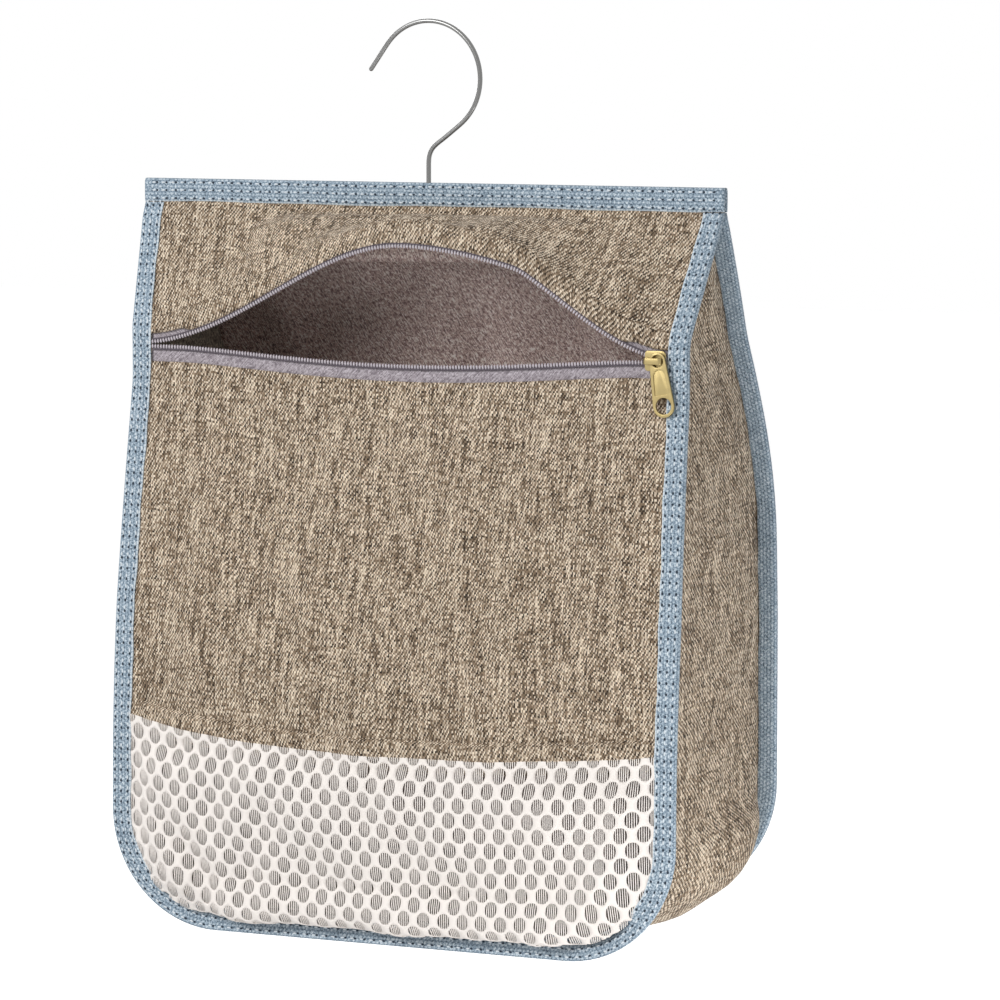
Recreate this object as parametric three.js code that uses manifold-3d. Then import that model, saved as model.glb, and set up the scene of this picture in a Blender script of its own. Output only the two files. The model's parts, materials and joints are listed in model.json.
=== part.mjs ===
// A cloth peg bag that hangs from a swivelling wire hook.
// A slanted upper front runs from the bound top edge down to an open zip, and a mesh
// window lets dirt out at the foot. Millimetres, +Z up, the front faces -Y, and the
// origin is the inside top of the hook, where the bag hangs on a line.
import * as THREE from 'three';
import Module from 'manifold-3d';

// Outer sizes
const TOP_WIDTH = 300;
const WAIST_TAPER = 13;
const BODY_TAPER = 9;
const FRONT_HEIGHT = 350;
const BACK_HEIGHT = 335;
const FRONT_REACH = 43.5;
const BACK_REACH = 72;
const BACK_SLOPE = 150;
const BODY_DROP = 200;
const ROOF_DROP = 20;
const CORNER_RADIUS = 55;
const BULGE = 12;

// Cloth, seams and binding
const CLOTH = 0.8;
const LINING = 0.5;
const FIT = 0.25;
const TAPE = 0.6;
const BINDING_WIDTH = 10.2;
const TOP_BINDING = 11;
const SEAM_INSET = 1;

// Hanger
const WIRE = 2.4;
const HOOK_RADIUS = 26.6;
const HOOK_CENTRE = 48;
const HOOK_BEND = 14;
const TIP_LENGTH = 8.6;
const TIP_LEAN = 2.8;
const BAR_LENGTH = 264;
const BAR_THICK = 6;
const BAR_HEIGHT = 16;

// Zip
const ZIP_DROP = 77;
const ZIP_REACH = 25.5;
const BAND_ABOVE = 8;
const BAND_BELOW = 17;
const UPPER_TAPE = 7.6;
const LOWER_TAPE = 16.6;
const LIP_RISE = 47.6;
const LIP_BULGE = 25;
const CREST_LEFT = 2;
const CREST_RIGHT = 52;
const CHAIN_PITCH = 2.8;
const SLIDER_LENGTH = 10.5;
const SLIDER_WIDTH = 9.2;
const SLIDER_PLATE = 0.9;
const PULL_LENGTH = 25;
const PULL_WIDTH = 9.4;
const PULL_THICK = 1.3;

// Mesh window
const HEM_DROP = 256;
const MESH_COLUMNS = 17;
const MESH_ROWS = 8;
const MESH_HOLE = 0.62;

// Places worked out from the sizes above
const waistWidth = TOP_WIDTH - WAIST_TAPER;
const bodyWidth = TOP_WIDTH - BODY_TAPER;
const wireRadius = WIRE / 2;
const barTop = -(TOP_BINDING + 6.5);
const barBottom = barTop - BAR_HEIGHT;
const neckTop = -(TOP_BINDING + 3.5);
const neckBar = barTop + 0.5;
const roofTop = -ROOF_DROP;
const bandTop = -(ZIP_DROP - BAND_ABOVE);
const bandFoot = -(ZIP_DROP + BAND_BELOW);
const zipZ = -ZIP_DROP;
const zipY = -ZIP_REACH;
const seamGap = CLOTH / 2 + FIT / 2;
const neckHalf = 2.6;
const barFace = BAR_THICK / 2 + CLOTH + 0.6;
const bindingOut = CLOTH / 2 + FIT + TAPE;
const bindingIn = CLOTH * 1.5 + FIT * 2 + TAPE;
const bindingBack = BINDING_WIDTH - 1.4;
const gussetSeam = bindingBack + 0.6;
const gussetInner = gussetSeam + CLOTH;
const clearInset = BINDING_WIDTH + 1.3;
const bodyFoot = -BODY_DROP;

const wasm = await Module();
wasm.setup();

// Colour, roughness and metalness of one material
function finish(color, roughness, metalness = 0) {
  return new THREE.MeshStandardMaterial({ color, roughness, metalness });
}
const LOOKS = {
  cloth: finish(0xa29180, 0.9),
  binding: finish(0x9ba6b0, 0.85),
  lining: finish(0x6a5857, 0.7),
  mesh: finish(0xf2e9e2, 0.8),
  zip: finish(0x9c9398, 0.6),
  brass: finish(0xe0cf98, 0.3, 1),
  steel: finish(0xa6a6a6, 0.3, 1),
  wood: finish(0xc2a67c, 0.7),
};

const clamp01 = (value) => Math.min(1, Math.max(0, value));
const smooth = (t) => t * t * (3 - 2 * t);

// Straight-line value at height z in a list of [height, value] pairs that runs downwards
function atHeight(pairs, z) {
  for (let i = 1; i < pairs.length; i += 1) {
    const [above, valueAbove] = pairs[i - 1];
    const [below, valueBelow] = pairs[i];
    if (z >= below) {
      const t = clamp01((above - z) / (above - below));
      return valueAbove + (valueBelow - valueAbove) * t;
    }
  }
  return pairs[pairs.length - 1][1];
}

// Heights that every sheet of cloth shares, so that neighbouring sheets stay parallel
const roofFoot = bandTop + 3;
const frontFoot = -(FRONT_HEIGHT - CORNER_RADIUS);
const inside = (top, foot, parts) => Array.from({ length: parts - 1 },
  (_, i) => top + ((foot - top) * (i + 1)) / parts);
const ROWS = [neckTop, neckBar, roofTop, ...inside(roofTop, roofFoot, 4), roofFoot, bandTop, bandFoot,
  ...inside(bandFoot, bodyFoot, 4), bodyFoot, ...inside(bodyFoot, frontFoot, 2)];

function frontCurve(z) {
  const t = clamp01((bandFoot - z) / (bandFoot - frontFoot));
  return zipY - (FRONT_REACH - ZIP_REACH) * Math.sin(t * Math.PI / 2);
}

function backCurve(z) {
  const t = clamp01((neckBar - z) / BACK_SLOPE);
  return barFace + (BACK_REACH - barFace) * Math.sin(t * Math.PI / 2);
}

const roofSlope = (ZIP_REACH - 1 - barFace - 1) / (roofTop - roofFoot);
const frontPairs = [[0, -seamGap], [0.4 - TOP_BINDING, -seamGap], [neckTop, -neckHalf],
  [neckBar, -barFace], [roofTop, -barFace - 1], [roofFoot, 1 - ZIP_REACH]];
const backPairs = [[0, seamGap], [0.4 - TOP_BINDING, seamGap], [neckTop, neckHalf],
  [neckBar, barFace]];
for (const z of [...ROWS, frontFoot]) {
  if (z <= bandTop) frontPairs.push([z, frontCurve(z)]);
  if (z < neckBar) backPairs.push([z, backCurve(z)]);
}
const widthPairs = [[0, TOP_WIDTH / 2], [neckTop, TOP_WIDTH / 2], [bandTop, waistWidth / 2],
  [bandFoot, waistWidth / 2], [bodyFoot, bodyWidth / 2]];

const halfWidth = (z) => atHeight(widthPairs, z);

// A face of the bag: its height, its profile, and the side on which the inside lies
const FRONT = { height: FRONT_HEIGHT, profile: (z) => atHeight(frontPairs, z), inside: 1 };
const BACK = { height: BACK_HEIGHT, profile: (z) => atHeight(backPairs, z), inside: -1 };

// Heights down one side of a face, to the start of its rounded corner
function sideHeights(face) {
  return [...ROWS, -(face.height - CORNER_RADIUS)];
}

const ARC_STEPS = 6;
const FOOT_STEPS = 4;

// Stations round the outer edge of a face, each with its inward direction
function edgeStations(face) {
  const centreZ = -(face.height - CORNER_RADIUS);
  const left = sideHeights(face).map((z) => ({ x: -halfWidth(z), z, inX: 1, inZ: 0 }));
  const centreX = halfWidth(centreZ) - CORNER_RADIUS;
  for (let i = 1; i <= ARC_STEPS; i += 1) {
    const angle = (i / ARC_STEPS) * Math.PI / 2;
    const inX = Math.cos(angle);
    const inZ = Math.sin(angle);
    const x = -centreX - CORNER_RADIUS * inX;
    left.push({ x, z: centreZ - CORNER_RADIUS * inZ, inX, inZ });
  }
  const foot = [];
  for (let i = 1; i < FOOT_STEPS; i += 1) {
    const x = -centreX + (2 * centreX * i) / FOOT_STEPS;
    foot.push({ x, z: -face.height, inX: 0, inZ: 1 });
  }
  const right = left.map((s) => ({ ...s, x: -s.x, inX: -s.inX })).reverse();
  return [...left, ...foot, ...right];
}

// A point at an inset from the edge of a face and a depth behind its cloth's middle
function seamPoint(face, station, inset, depth) {
  const x = station.x + station.inX * inset;
  const z = station.z + station.inZ * inset;
  return new THREE.Vector3(x, face.profile(z) + face.inside * depth, z);
}

// A closed body from shared points and triangles, turned so that its faces point out
function body(points, triangles) {
  let volume = 0;
  for (const [a, b, c] of triangles) {
    volume += points[a].dot(new THREE.Vector3().crossVectors(points[b], points[c]));
  }
  const turned = volume < 0 ? triangles.map(([a, b, c]) => [a, c, b]) : triangles;
  const geometry = new THREE.BufferGeometry();
  geometry.setFromPoints(points);
  geometry.setIndex(turned.flat());
  return geometry;
}

// A body swept through rings of points, its ends closed by the section's own triangles
function sweep(rings) {
  const count = rings[0].length;
  const first = rings[0];
  const across = new THREE.Vector3().subVectors(first[1], first[0]).normalize();
  const normal = new THREE.Vector3();
  for (let i = 1; i < count - 1; i += 1) {
    const u = new THREE.Vector3().subVectors(first[i], first[0]);
    const v = new THREE.Vector3().subVectors(first[i + 1], first[0]);
    normal.add(u.cross(v));
  }
  const up = new THREE.Vector3().crossVectors(normal.normalize(), across);
  const flat = first.map((p) => new THREE.Vector2(p.dot(across), p.dot(up)));
  const cap = THREE.ShapeUtils.triangulateShape(flat, []);
  const last = (rings.length - 1) * count;
  const triangles = [];
  for (const [a, b, c] of cap) triangles.push([a, c, b], [last + a, last + b, last + c]);
  for (let r = 0; r < rings.length - 1; r += 1) {
    for (let i = 0; i < count; i += 1) {
      const a = r * count + i;
      const b = r * count + ((i + 1) % count);
      triangles.push([a, b, b + count], [a, b + count, a + count]);
    }
  }
  return body(rings.flat(), triangles);
}

// A sheet of cloth from middle points and triangles, thickened along Y
function sheet(points, triangles, thickness) {
  const count = points.length;
  const offset = new THREE.Vector3(0, thickness / 2, 0);
  const all = [...points.map((p) => p.clone().sub(offset)), ...points.map((p) => p.clone().add(offset))];
  const edges = new Map();
  for (const [a, b, c] of triangles) {
    for (const [p, q] of [[a, b], [b, c], [c, a]]) {
      const twin = `${q},${p}`;
      if (edges.has(twin)) edges.delete(twin);
      else edges.set(`${p},${q}`, [p, q]);
    }
  }
  const skins = triangles.flatMap(([a, b, c]) => [[a, b, c], [a + count, c + count, b + count]]);
  const walls = [...edges.values()].flatMap(([p, q]) => [[q, p, p + count], [q, p + count, q + count]]);
  return body(all, [...skins, ...walls]);
}

// Triangles of a grid of points given row by row
function gridTriangles(rows, columns) {
  const triangles = [];
  for (let r = 0; r < rows - 1; r += 1) {
    for (let c = 0; c < columns - 1; c += 1) {
      const a = r * columns + c;
      triangles.push([a, a + columns, a + columns + 1], [a, a + columns + 1, a + 1]);
    }
  }
  return triangles;
}

function solid(geometry) {
  const mesh = new wasm.Mesh({
    numProp: 3,
    vertProperties: new Float32Array(geometry.attributes.position.array),
    triVerts: new Uint32Array(geometry.index.array),
  });
  return new wasm.Manifold(mesh);
}

function fromSolid(manifold) {
  const mesh = manifold.getMesh();
  const geometry = new THREE.BufferGeometry();
  geometry.setAttribute('position', new THREE.Float32BufferAttribute(mesh.vertProperties, 3));
  geometry.setIndex([...mesh.triVerts]);
  return geometry;
}

// A round or flat-sided prism between two places on a line, as rings for a sweep
function prism(outline, from, to) {
  const ring = (offset) => outline.map((p) => p.clone().add(offset));
  return sweep([ring(from), ring(to)]);
}

function circlePoints(radius, sides, place) {
  const points = [];
  for (let i = 0; i < sides; i += 1) {
    const angle = (2 * Math.PI * (i + 0.5)) / sides;
    points.push(place(radius * Math.cos(angle), radius * Math.sin(angle)));
  }
  return points;
}

const level = (x, y) => new THREE.Vector3(x, y, 0);
const upright = (x, z) => new THREE.Vector3(x, 0, z);

// The clearance hole that the hook's shank turns in
function shankHole() {
  const outline = circlePoints(wireRadius + 0.45, 16, level);
  const top = new THREE.Vector3(0, 0, HOOK_BEND / 2);
  const foot = new THREE.Vector3(0, 0, barBottom - HOOK_BEND);
  return solid(prism(outline, foot, top));
}

const drilled = (geometry) => fromSolid(solid(geometry).subtract(shankHole()));

const bag = new THREE.Group();
const seatHeight = HOOK_CENTRE + HOOK_RADIUS - wireRadius;
bag.position.z = -seatHeight;

function add(name, geometry, look) {
  const mesh = new THREE.Mesh(geometry, look);
  mesh.name = name;
  bag.add(mesh);
}

// How far the front swells out between its seams
const swellTop = bandFoot;
const swellFoot = -(FRONT_HEIGHT - clearInset);
function swell(x, z) {
  const down = (swellTop - z) / (swellTop - swellFoot);
  if (down <= 0 || down >= 1) return 0;
  const across = x / insetWidth(FRONT, z, clearInset);
  if (Math.abs(across) >= 1) return 0;
  return BULGE * (1 - across * across) * Math.sin(Math.PI * down ** 1.5);
}

// Half width of a face at height z, inset from its outer edge
function insetWidth(face, z, inset) {
  const below = -(face.height - CORNER_RADIUS) - z;
  const radius = CORNER_RADIUS - inset;
  if (below <= 0) return halfWidth(z) - inset;
  return halfWidth(z) - CORNER_RADIUS + Math.sqrt(Math.max(0, radius * radius - below * below));
}

// Heights from the start of a corner to its foot, at an inset from the outer edge
function cornerHeights(face, inset) {
  const centreZ = -(face.height - CORNER_RADIUS);
  const heights = [];
  for (let i = 1; i <= ARC_STEPS; i += 1) {
    heights.push(centreZ - (CORNER_RADIUS - inset) * Math.sin((i / ARC_STEPS) * Math.PI / 2));
  }
  return heights;
}

// A full sheet of a face: rows of points inside the binding, with a border that is sewn in it
function facePanel(face, heights, columns, depth, swells, thickness, inset) {
  const points = [];
  const triangles = [];
  const inner = inset + BINDING_WIDTH;
  const put = (x, z) => {
    const y = face.profile(z) + face.inside * depth - (swells ? swell(x, z) : 0);
    return points.push(new THREE.Vector3(x, y, z)) - 1;
  };
  const centreZ = -(face.height - CORNER_RADIUS);
  const grid = heights.map((z) => {
    const half = insetWidth(face, z, inner);
    const sine = clamp01((centreZ - z) / (CORNER_RADIUS - inner));
    const out = BINDING_WIDTH * Math.sqrt(1 - sine * sine);
    const down = BINDING_WIDTH * sine;
    const row = [put(-half - out, z - down)];
    for (let c = 0; c <= columns; c += 1) row.push(put(half * ((2 * c) / columns - 1), z));
    row.push(put(half + out, z - down));
    return row;
  });
  const quad = (a, b, c, d) => triangles.push([a, b, c], [a, c, d]);
  for (let r = 0; r < grid.length - 1; r += 1) {
    for (let c = 0; c < columns + 2; c += 1) {
      quad(grid[r][c], grid[r + 1][c], grid[r + 1][c + 1], grid[r][c + 1]);
    }
  }
  const lastZ = heights[heights.length - 1];
  if (lastZ < centreZ) {
    const last = grid[grid.length - 1];
    const foot = [last[0]];
    for (let c = 2; c <= columns; c += 1) foot.push(put(points[last[c]].x, lastZ - BINDING_WIDTH));
    foot.push(last[columns + 2]);
    for (let c = 0; c < columns; c += 1) quad(last[c + 1], foot[c], foot[c + 1], last[c + 2]);
  }
  return sheet(points, triangles, thickness);
}

const between = (heights, top, foot) => [top, ...heights.filter((z) => z < top - 0.5 && z > foot + 0.5), foot];

// Hanger: a bar in the top hem, and a wire hook that turns in it
function hangerBar() {
  const half = BAR_LENGTH / 2;
  const edge = BAR_THICK / 2;
  const outline = [];
  for (const [side, start] of [[1, -90], [-1, 90]]) {
    for (let i = 0; i <= 6; i += 1) {
      const angle = THREE.MathUtils.degToRad(start + 30 * i);
      outline.push(level(side * (half - edge) + edge * Math.cos(angle), edge * Math.sin(angle)));
    }
  }
  const bar = prism(outline, new THREE.Vector3(0, 0, barBottom), new THREE.Vector3(0, 0, barTop));
  return drilled(bar);
}

const washerThick = 0.8;
const washerTop = barBottom - 0.4;
const headTop = washerTop - washerThick - 0.4;
const headRadius = wireRadius * 2;
const headHeight = 1.6;

function hookWasher() {
  const outer = circlePoints(headRadius + 1, 18, level);
  const top = new THREE.Vector3(0, 0, washerTop);
  const foot = new THREE.Vector3(0, 0, washerTop - washerThick);
  return drilled(prism(outer, foot, top));
}

// The hook's middle line in the XZ plane, from the shank's head up and round to the tip
function hookLine() {
  const line = [[0, headTop - headHeight], [0, headTop], [0, headTop], [0, headTop + 1], [0, 0]];
  const start = THREE.MathUtils.degToRad(-50);
  const end = THREE.MathUtils.degToRad(166);
  const arc = (angle) => [HOOK_RADIUS * Math.cos(angle), HOOK_CENTRE + HOOK_RADIUS * Math.sin(angle)];
  const [meetX, meetZ] = arc(start);
  line.push([0, HOOK_BEND - 3], [0.6, HOOK_BEND], [2.6, HOOK_BEND + 2.8]);
  line.push([meetX * 0.55, HOOK_BEND + 2.8 + (meetZ - HOOK_BEND - 2.8) * 0.45]);
  const turns = 22;
  for (let i = 0; i <= turns; i += 1) line.push(arc(start + ((end - start) * i) / turns));
  const [tipX, tipZ] = arc(end);
  for (const [lean, drop] of [[0.57, 0.6], [0.86, 0.86], [1, 1]]) {
    line.push([tipX - TIP_LEAN * lean, tipZ - TIP_LENGTH * drop]);
  }
  return line;
}

function hangerHook() {
  const line = hookLine();
  const sides = 10;
  const rings = line.map(([x, z], i) => {
    const [x0, z0] = line[Math.max(0, i - 1)];
    const [x1, z1] = line[Math.min(line.length - 1, i + 1)];
    const along = new THREE.Vector2(x1 - x0, z1 - z0).normalize();
    let radius = wireRadius;
    if (i < 2) radius = headRadius;
    if (i === line.length - 2) radius = wireRadius * 1.25;
    if (i === line.length - 1) radius = wireRadius * 0.5;
    return circlePoints(radius, sides, (u, v) => new THREE.Vector3(x + u * along.y, v, z - u * along.x));
  });
  return sweep(rings);
}

// Binding: a tape folded round the edges of two cloths
function edgeBinding(face) {
  const section = [[0, -bindingOut], [BINDING_WIDTH, -bindingOut], [BINDING_WIDTH, TAPE - bindingOut],
    [TAPE, TAPE - bindingOut], [TAPE, bindingIn - TAPE], [bindingBack, bindingIn - TAPE],
    [bindingBack, bindingIn], [0, bindingIn]];
  return sweep(edgeStations(face).map((s) => section.map(([inset, depth]) => seamPoint(face, s, inset, depth))));
}

function topBinding() {
  const out = seamGap + CLOTH / 2 + FIT + TAPE;
  const within = out - TAPE;
  const section = [[-out, 0], [out, 0], [out, -TOP_BINDING], [within, -TOP_BINDING], [within, -TAPE],
    [-within, -TAPE], [-within, -TOP_BINDING], [-out, -TOP_BINDING]];
  const ring = (x) => section.map(([y, z]) => new THREE.Vector3(x, y, z));
  return drilled(sweep([ring(-TOP_WIDTH / 2), ring(TOP_WIDTH / 2)]));
}

// Gusset: one strip round the sides and the foot, its edges turned out into the bindings
function gusset() {
  const depth = CLOTH / 2 + FIT;
  const front = edgeStations(FRONT);
  const back = edgeStations(BACK);
  return sweep(front.map((f, i) => {
    const b = back[i];
    return [seamPoint(FRONT, f, SEAM_INSET, depth), seamPoint(FRONT, f, gussetInner, depth),
      seamPoint(BACK, b, gussetInner, depth), seamPoint(BACK, b, SEAM_INSET, depth),
      seamPoint(BACK, b, SEAM_INSET, depth + CLOTH), seamPoint(BACK, b, gussetSeam, depth + CLOTH),
      seamPoint(FRONT, f, gussetSeam, depth + CLOTH), seamPoint(FRONT, f, SEAM_INSET, depth + CLOTH)];
  }));
}

const liningInset = gussetInner + 0.3;
const liningEdge = CLOTH / 2 + LINING + 2 * FIT + 0.2;
function gussetLining() {
  const front = edgeStations(FRONT).slice(2, -2);
  const back = edgeStations(BACK).slice(2, -2);
  return sweep(front.map((f, i) => [
    seamPoint(FRONT, f, liningInset, liningEdge), seamPoint(FRONT, f, liningInset + LINING, liningEdge),
    seamPoint(BACK, back[i], liningInset + LINING, liningEdge), seamPoint(BACK, back[i], liningInset, liningEdge)]));
}

const hemTop = -TAPE - 0.4;
const hemFoot = 0.4 - TOP_BINDING;

function backPanel() {
  const heights = [hemTop, hemFoot, ...sideHeights(BACK), ...cornerHeights(BACK, SEAM_INSET + BINDING_WIDTH)];
  return drilled(facePanel(BACK, heights, 4, 0, false, CLOTH, SEAM_INSET));
}

// A lining sheet that ends inside the gusset
function liningSheet(face, heights, columns, swells) {
  const points = [];
  const depth = CLOTH / 2 + FIT + LINING / 2;
  for (const z of heights) {
    const half = insetWidth(face, z, liningInset);
    const flat = halfWidth(z) - clearInset;
    for (let c = 0; c <= columns; c += 1) {
      const t = (2 * c) / columns - 1;
      const x = Math.abs(t) === 1 ? t * half : t * Math.min(half, flat);
      const y = face.profile(z) + face.inside * depth - (swells ? swell(x, z) : 0);
      points.push(new THREE.Vector3(x, y, z));
    }
  }
  return sheet(points, gridTriangles(heights.length, columns + 1), LINING);
}

function backLining() {
  const heights = [...sideHeights(BACK).slice(2), ...cornerHeights(BACK, liningInset)];
  return liningSheet(BACK, heights, 4, false);
}

const panelTop = zipZ - 8;
const hemZ = -HEM_DROP;
const lowerColumns = 10;

function frontLowerPanel() {
  const heights = between(sideHeights(FRONT), panelTop, hemZ);
  return facePanel(FRONT, heights, lowerColumns, 0, true, CLOTH, SEAM_INSET);
}

function frontLining() {
  const heights = between(sideHeights(FRONT), bandFoot - 0.6, hemZ);
  return liningSheet(FRONT, heights, lowerColumns, true);
}

// How far open the upper lip is along the zip, from 0 at its ends to 1
const sliderX = waistWidth / 2 - liningInset - LINING - 0.5 - SLIDER_LENGTH / 2;
const mouthLeft = -(waistWidth / 2 - clearInset - 1);
const mouthRight = sliderX - SLIDER_LENGTH / 2 - 0.8;
function openness(x) {
  const left = clamp01((x - mouthLeft) / (-CREST_LEFT - mouthLeft));
  const right = clamp01((mouthRight - x) / (mouthRight - CREST_RIGHT));
  return smooth(Math.min(left, right));
}

// The lip opens up along the slanted front and out from it
const roofAngle = Math.atan(roofSlope);
const lipTravel = new THREE.Vector3(
  0,
  LIP_RISE * Math.sin(roofAngle) - LIP_BULGE * Math.cos(roofAngle),
  LIP_RISE * Math.cos(roofAngle) + LIP_BULGE * Math.sin(roofAngle),
);

const roofEdge = zipZ + 5.2;
function frontUpperPanel() {
  const heights = [hemTop, hemFoot, ...between(ROWS, neckTop, roofEdge)];
  const columns = 36;
  const points = [];
  for (const z of heights) {
    const half = halfWidth(z) - SEAM_INSET;
    const flat = halfWidth(z) - clearInset;
    for (let c = 0; c <= columns; c += 1) {
      const t = (2 * (c - 1)) / (columns - 2) - 1;
      const x = Math.abs(t) > 1 ? Math.sign(t) * half : t * flat;
      const share = openness(x) * clamp01((neckTop - z) / (neckTop - bandTop));
      points.push(new THREE.Vector3(x, FRONT.profile(z), z).addScaledVector(lipTravel, share));
    }
  }
  return drilled(sheet(points, gridTriangles(heights.length, columns + 1), CLOTH));
}

// Zip: a strip or chain along the mouth, given as [height off the zip line, depth] corners
const chainEnd = waistWidth / 2 - BINDING_WIDTH - 0.6;
const chainIn = 1.1;
const chainRoot = 1.9;
const chainOut = 3.3;
const chainFront = -1.3;
const chainBack = 0.5;
const tapeFront = chainBack + 0.3;
const tapeBack = tapeFront + TAPE;

function zipRing(x, corners, side) {
  const travel = side > 0 ? openness(x) : 0;
  return corners.map(([off, depth]) => new THREE.Vector3(x, zipY + depth, zipZ + side * off)
    .addScaledVector(lipTravel, travel));
}

function zipTape(side, width) {
  const corners = [[2.4, tapeFront], [2.4, tapeBack], [width, tapeBack], [width, tapeFront]];
  const steps = 48;
  const rings = [];
  for (let i = 0; i <= steps; i += 1) {
    rings.push(zipRing(-chainEnd + (2 * chainEnd * i) / steps, corners, side));
  }
  return sweep(rings);
}

function zipChain(side) {
  const count = Math.round((2 * chainEnd) / CHAIN_PITCH);
  const pitch = (2 * chainEnd) / count;
  const rings = [];
  for (let i = 0; i <= 2 * count; i += 1) {
    const tooth = (i + (side > 0 ? 1 : 0)) % 2 === 0 ? chainIn : chainRoot;
    const corners = [[tooth, chainFront], [tooth, chainBack], [chainOut, chainBack], [chainOut, chainFront]];
    rings.push(zipRing(-chainEnd + (pitch * i) / 2, corners, side));
  }
  return sweep(rings);
}

// Slider: two plates joined by a wedge, side lips over the chain, and a crown on top
const plateTop = chainFront - 0.4;
const plateFoot = tapeBack + 0.4;
const crownGap = PULL_THICK + 1;
const crownThick = 1;
const crownLeg = 0.9;
const legOffset = 3;

// A prism whose outline lies in the zip's plane, between two depths
function zipPrism(outline, nearDepth, farDepth) {
  const place = (depth) => new THREE.Vector3(sliderX, zipY + depth, zipZ);
  return prism(outline, place(nearDepth), place(farDepth));
}

function rectangle(x0, x1, z0, z1) {
  return [upright(x0, z0), upright(x1, z0), upright(x1, z1), upright(x0, z1)];
}

function zipSlider() {
  const long = SLIDER_LENGTH / 2;
  const wide = SLIDER_WIDTH / 2;
  const plate = [upright(-long, -wide + 1), upright(-long + 1.2, -wide), upright(long - 2, -wide),
    upright(long, -wide + 1.6), upright(long, wide - 1.6), upright(long - 2, wide),
    upright(-long + 1.2, wide), upright(-long, wide - 1)];
  const wedge = [upright(-long + 0.4, 0), upright(-long + 1.8, -0.7), upright(-0.6, 0), upright(-long + 1.8, 0.7)];
  const crownFoot = plateTop - SLIDER_PLATE;
  const crownTop = crownFoot - crownGap;
  const sink = 0.2;
  const pieces = [
    zipPrism(plate, crownFoot, plateTop),
    zipPrism(plate, plateFoot, plateFoot + SLIDER_PLATE),
    zipPrism(wedge, plateTop - sink, plateFoot + sink),
    zipPrism(rectangle(-legOffset - 1.3, legOffset + 1.3, -1.3, 1.3), crownTop - crownThick, crownTop),
  ];
  for (const side of [-1, 1]) {
    const lip = rectangle(-long + 1.4, long - 2.2, side * (chainOut + 0.4), side * (wide - 0.1));
    pieces.push(zipPrism(lip, plateTop - sink, tapeFront - 0.45));
    const leg = circlePoints(crownLeg, 10, (x, z) => upright(x + side * legOffset, z));
    pieces.push(zipPrism(leg, crownTop - sink, crownFoot + sink));
  }
  return fromSolid(pieces.map(solid).reduce((whole, piece) => whole.add(piece)));
}

// Pull: a tab with an eye round the crown's outer leg and a finger hole at its foot
function zipPull() {
  const headRadiusPull = 3.3;
  const eyeRadius = 1.7;
  const footRadius = PULL_WIDTH / 2;
  const holeRadius = 3.4;
  const arc = (radius, height, from, to, steps) => {
    const points = [];
    for (let i = 0; i <= steps; i += 1) {
      const angle = THREE.MathUtils.degToRad(from + ((to - from) * i) / steps);
      points.push(upright(radius * Math.cos(angle), height + radius * Math.sin(angle)));
    }
    return points;
  };
  const footHeight = footRadius - PULL_LENGTH;
  const outline = [...arc(headRadiusPull, 0, 0, 180, 10), ...arc(footRadius, footHeight, 180, 360, 12)];
  const far = plateTop - SLIDER_PLATE - (crownGap - PULL_THICK) / 2;
  const near = far - PULL_THICK;
  const shift = (points) => points.map((p) => p.clone().add(upright(legOffset, 0)));
  const hole = (radius, height) => {
    const ring = circlePoints(radius, 16, (x, z) => upright(x, height + z));
    return solid(zipPrism(shift(ring), near - 1, far + 1));
  };
  const recess = rectangle(-2.6, 2.6, footHeight + holeRadius + 2, -headRadiusPull - 1.2);
  return fromSolid(solid(zipPrism(shift(outline), near, far))
    .subtract(hole(eyeRadius, 0))
    .subtract(hole(holeRadius, footHeight))
    .subtract(solid(zipPrism(shift(recess), near - 1, near + 0.3))));
}

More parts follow.
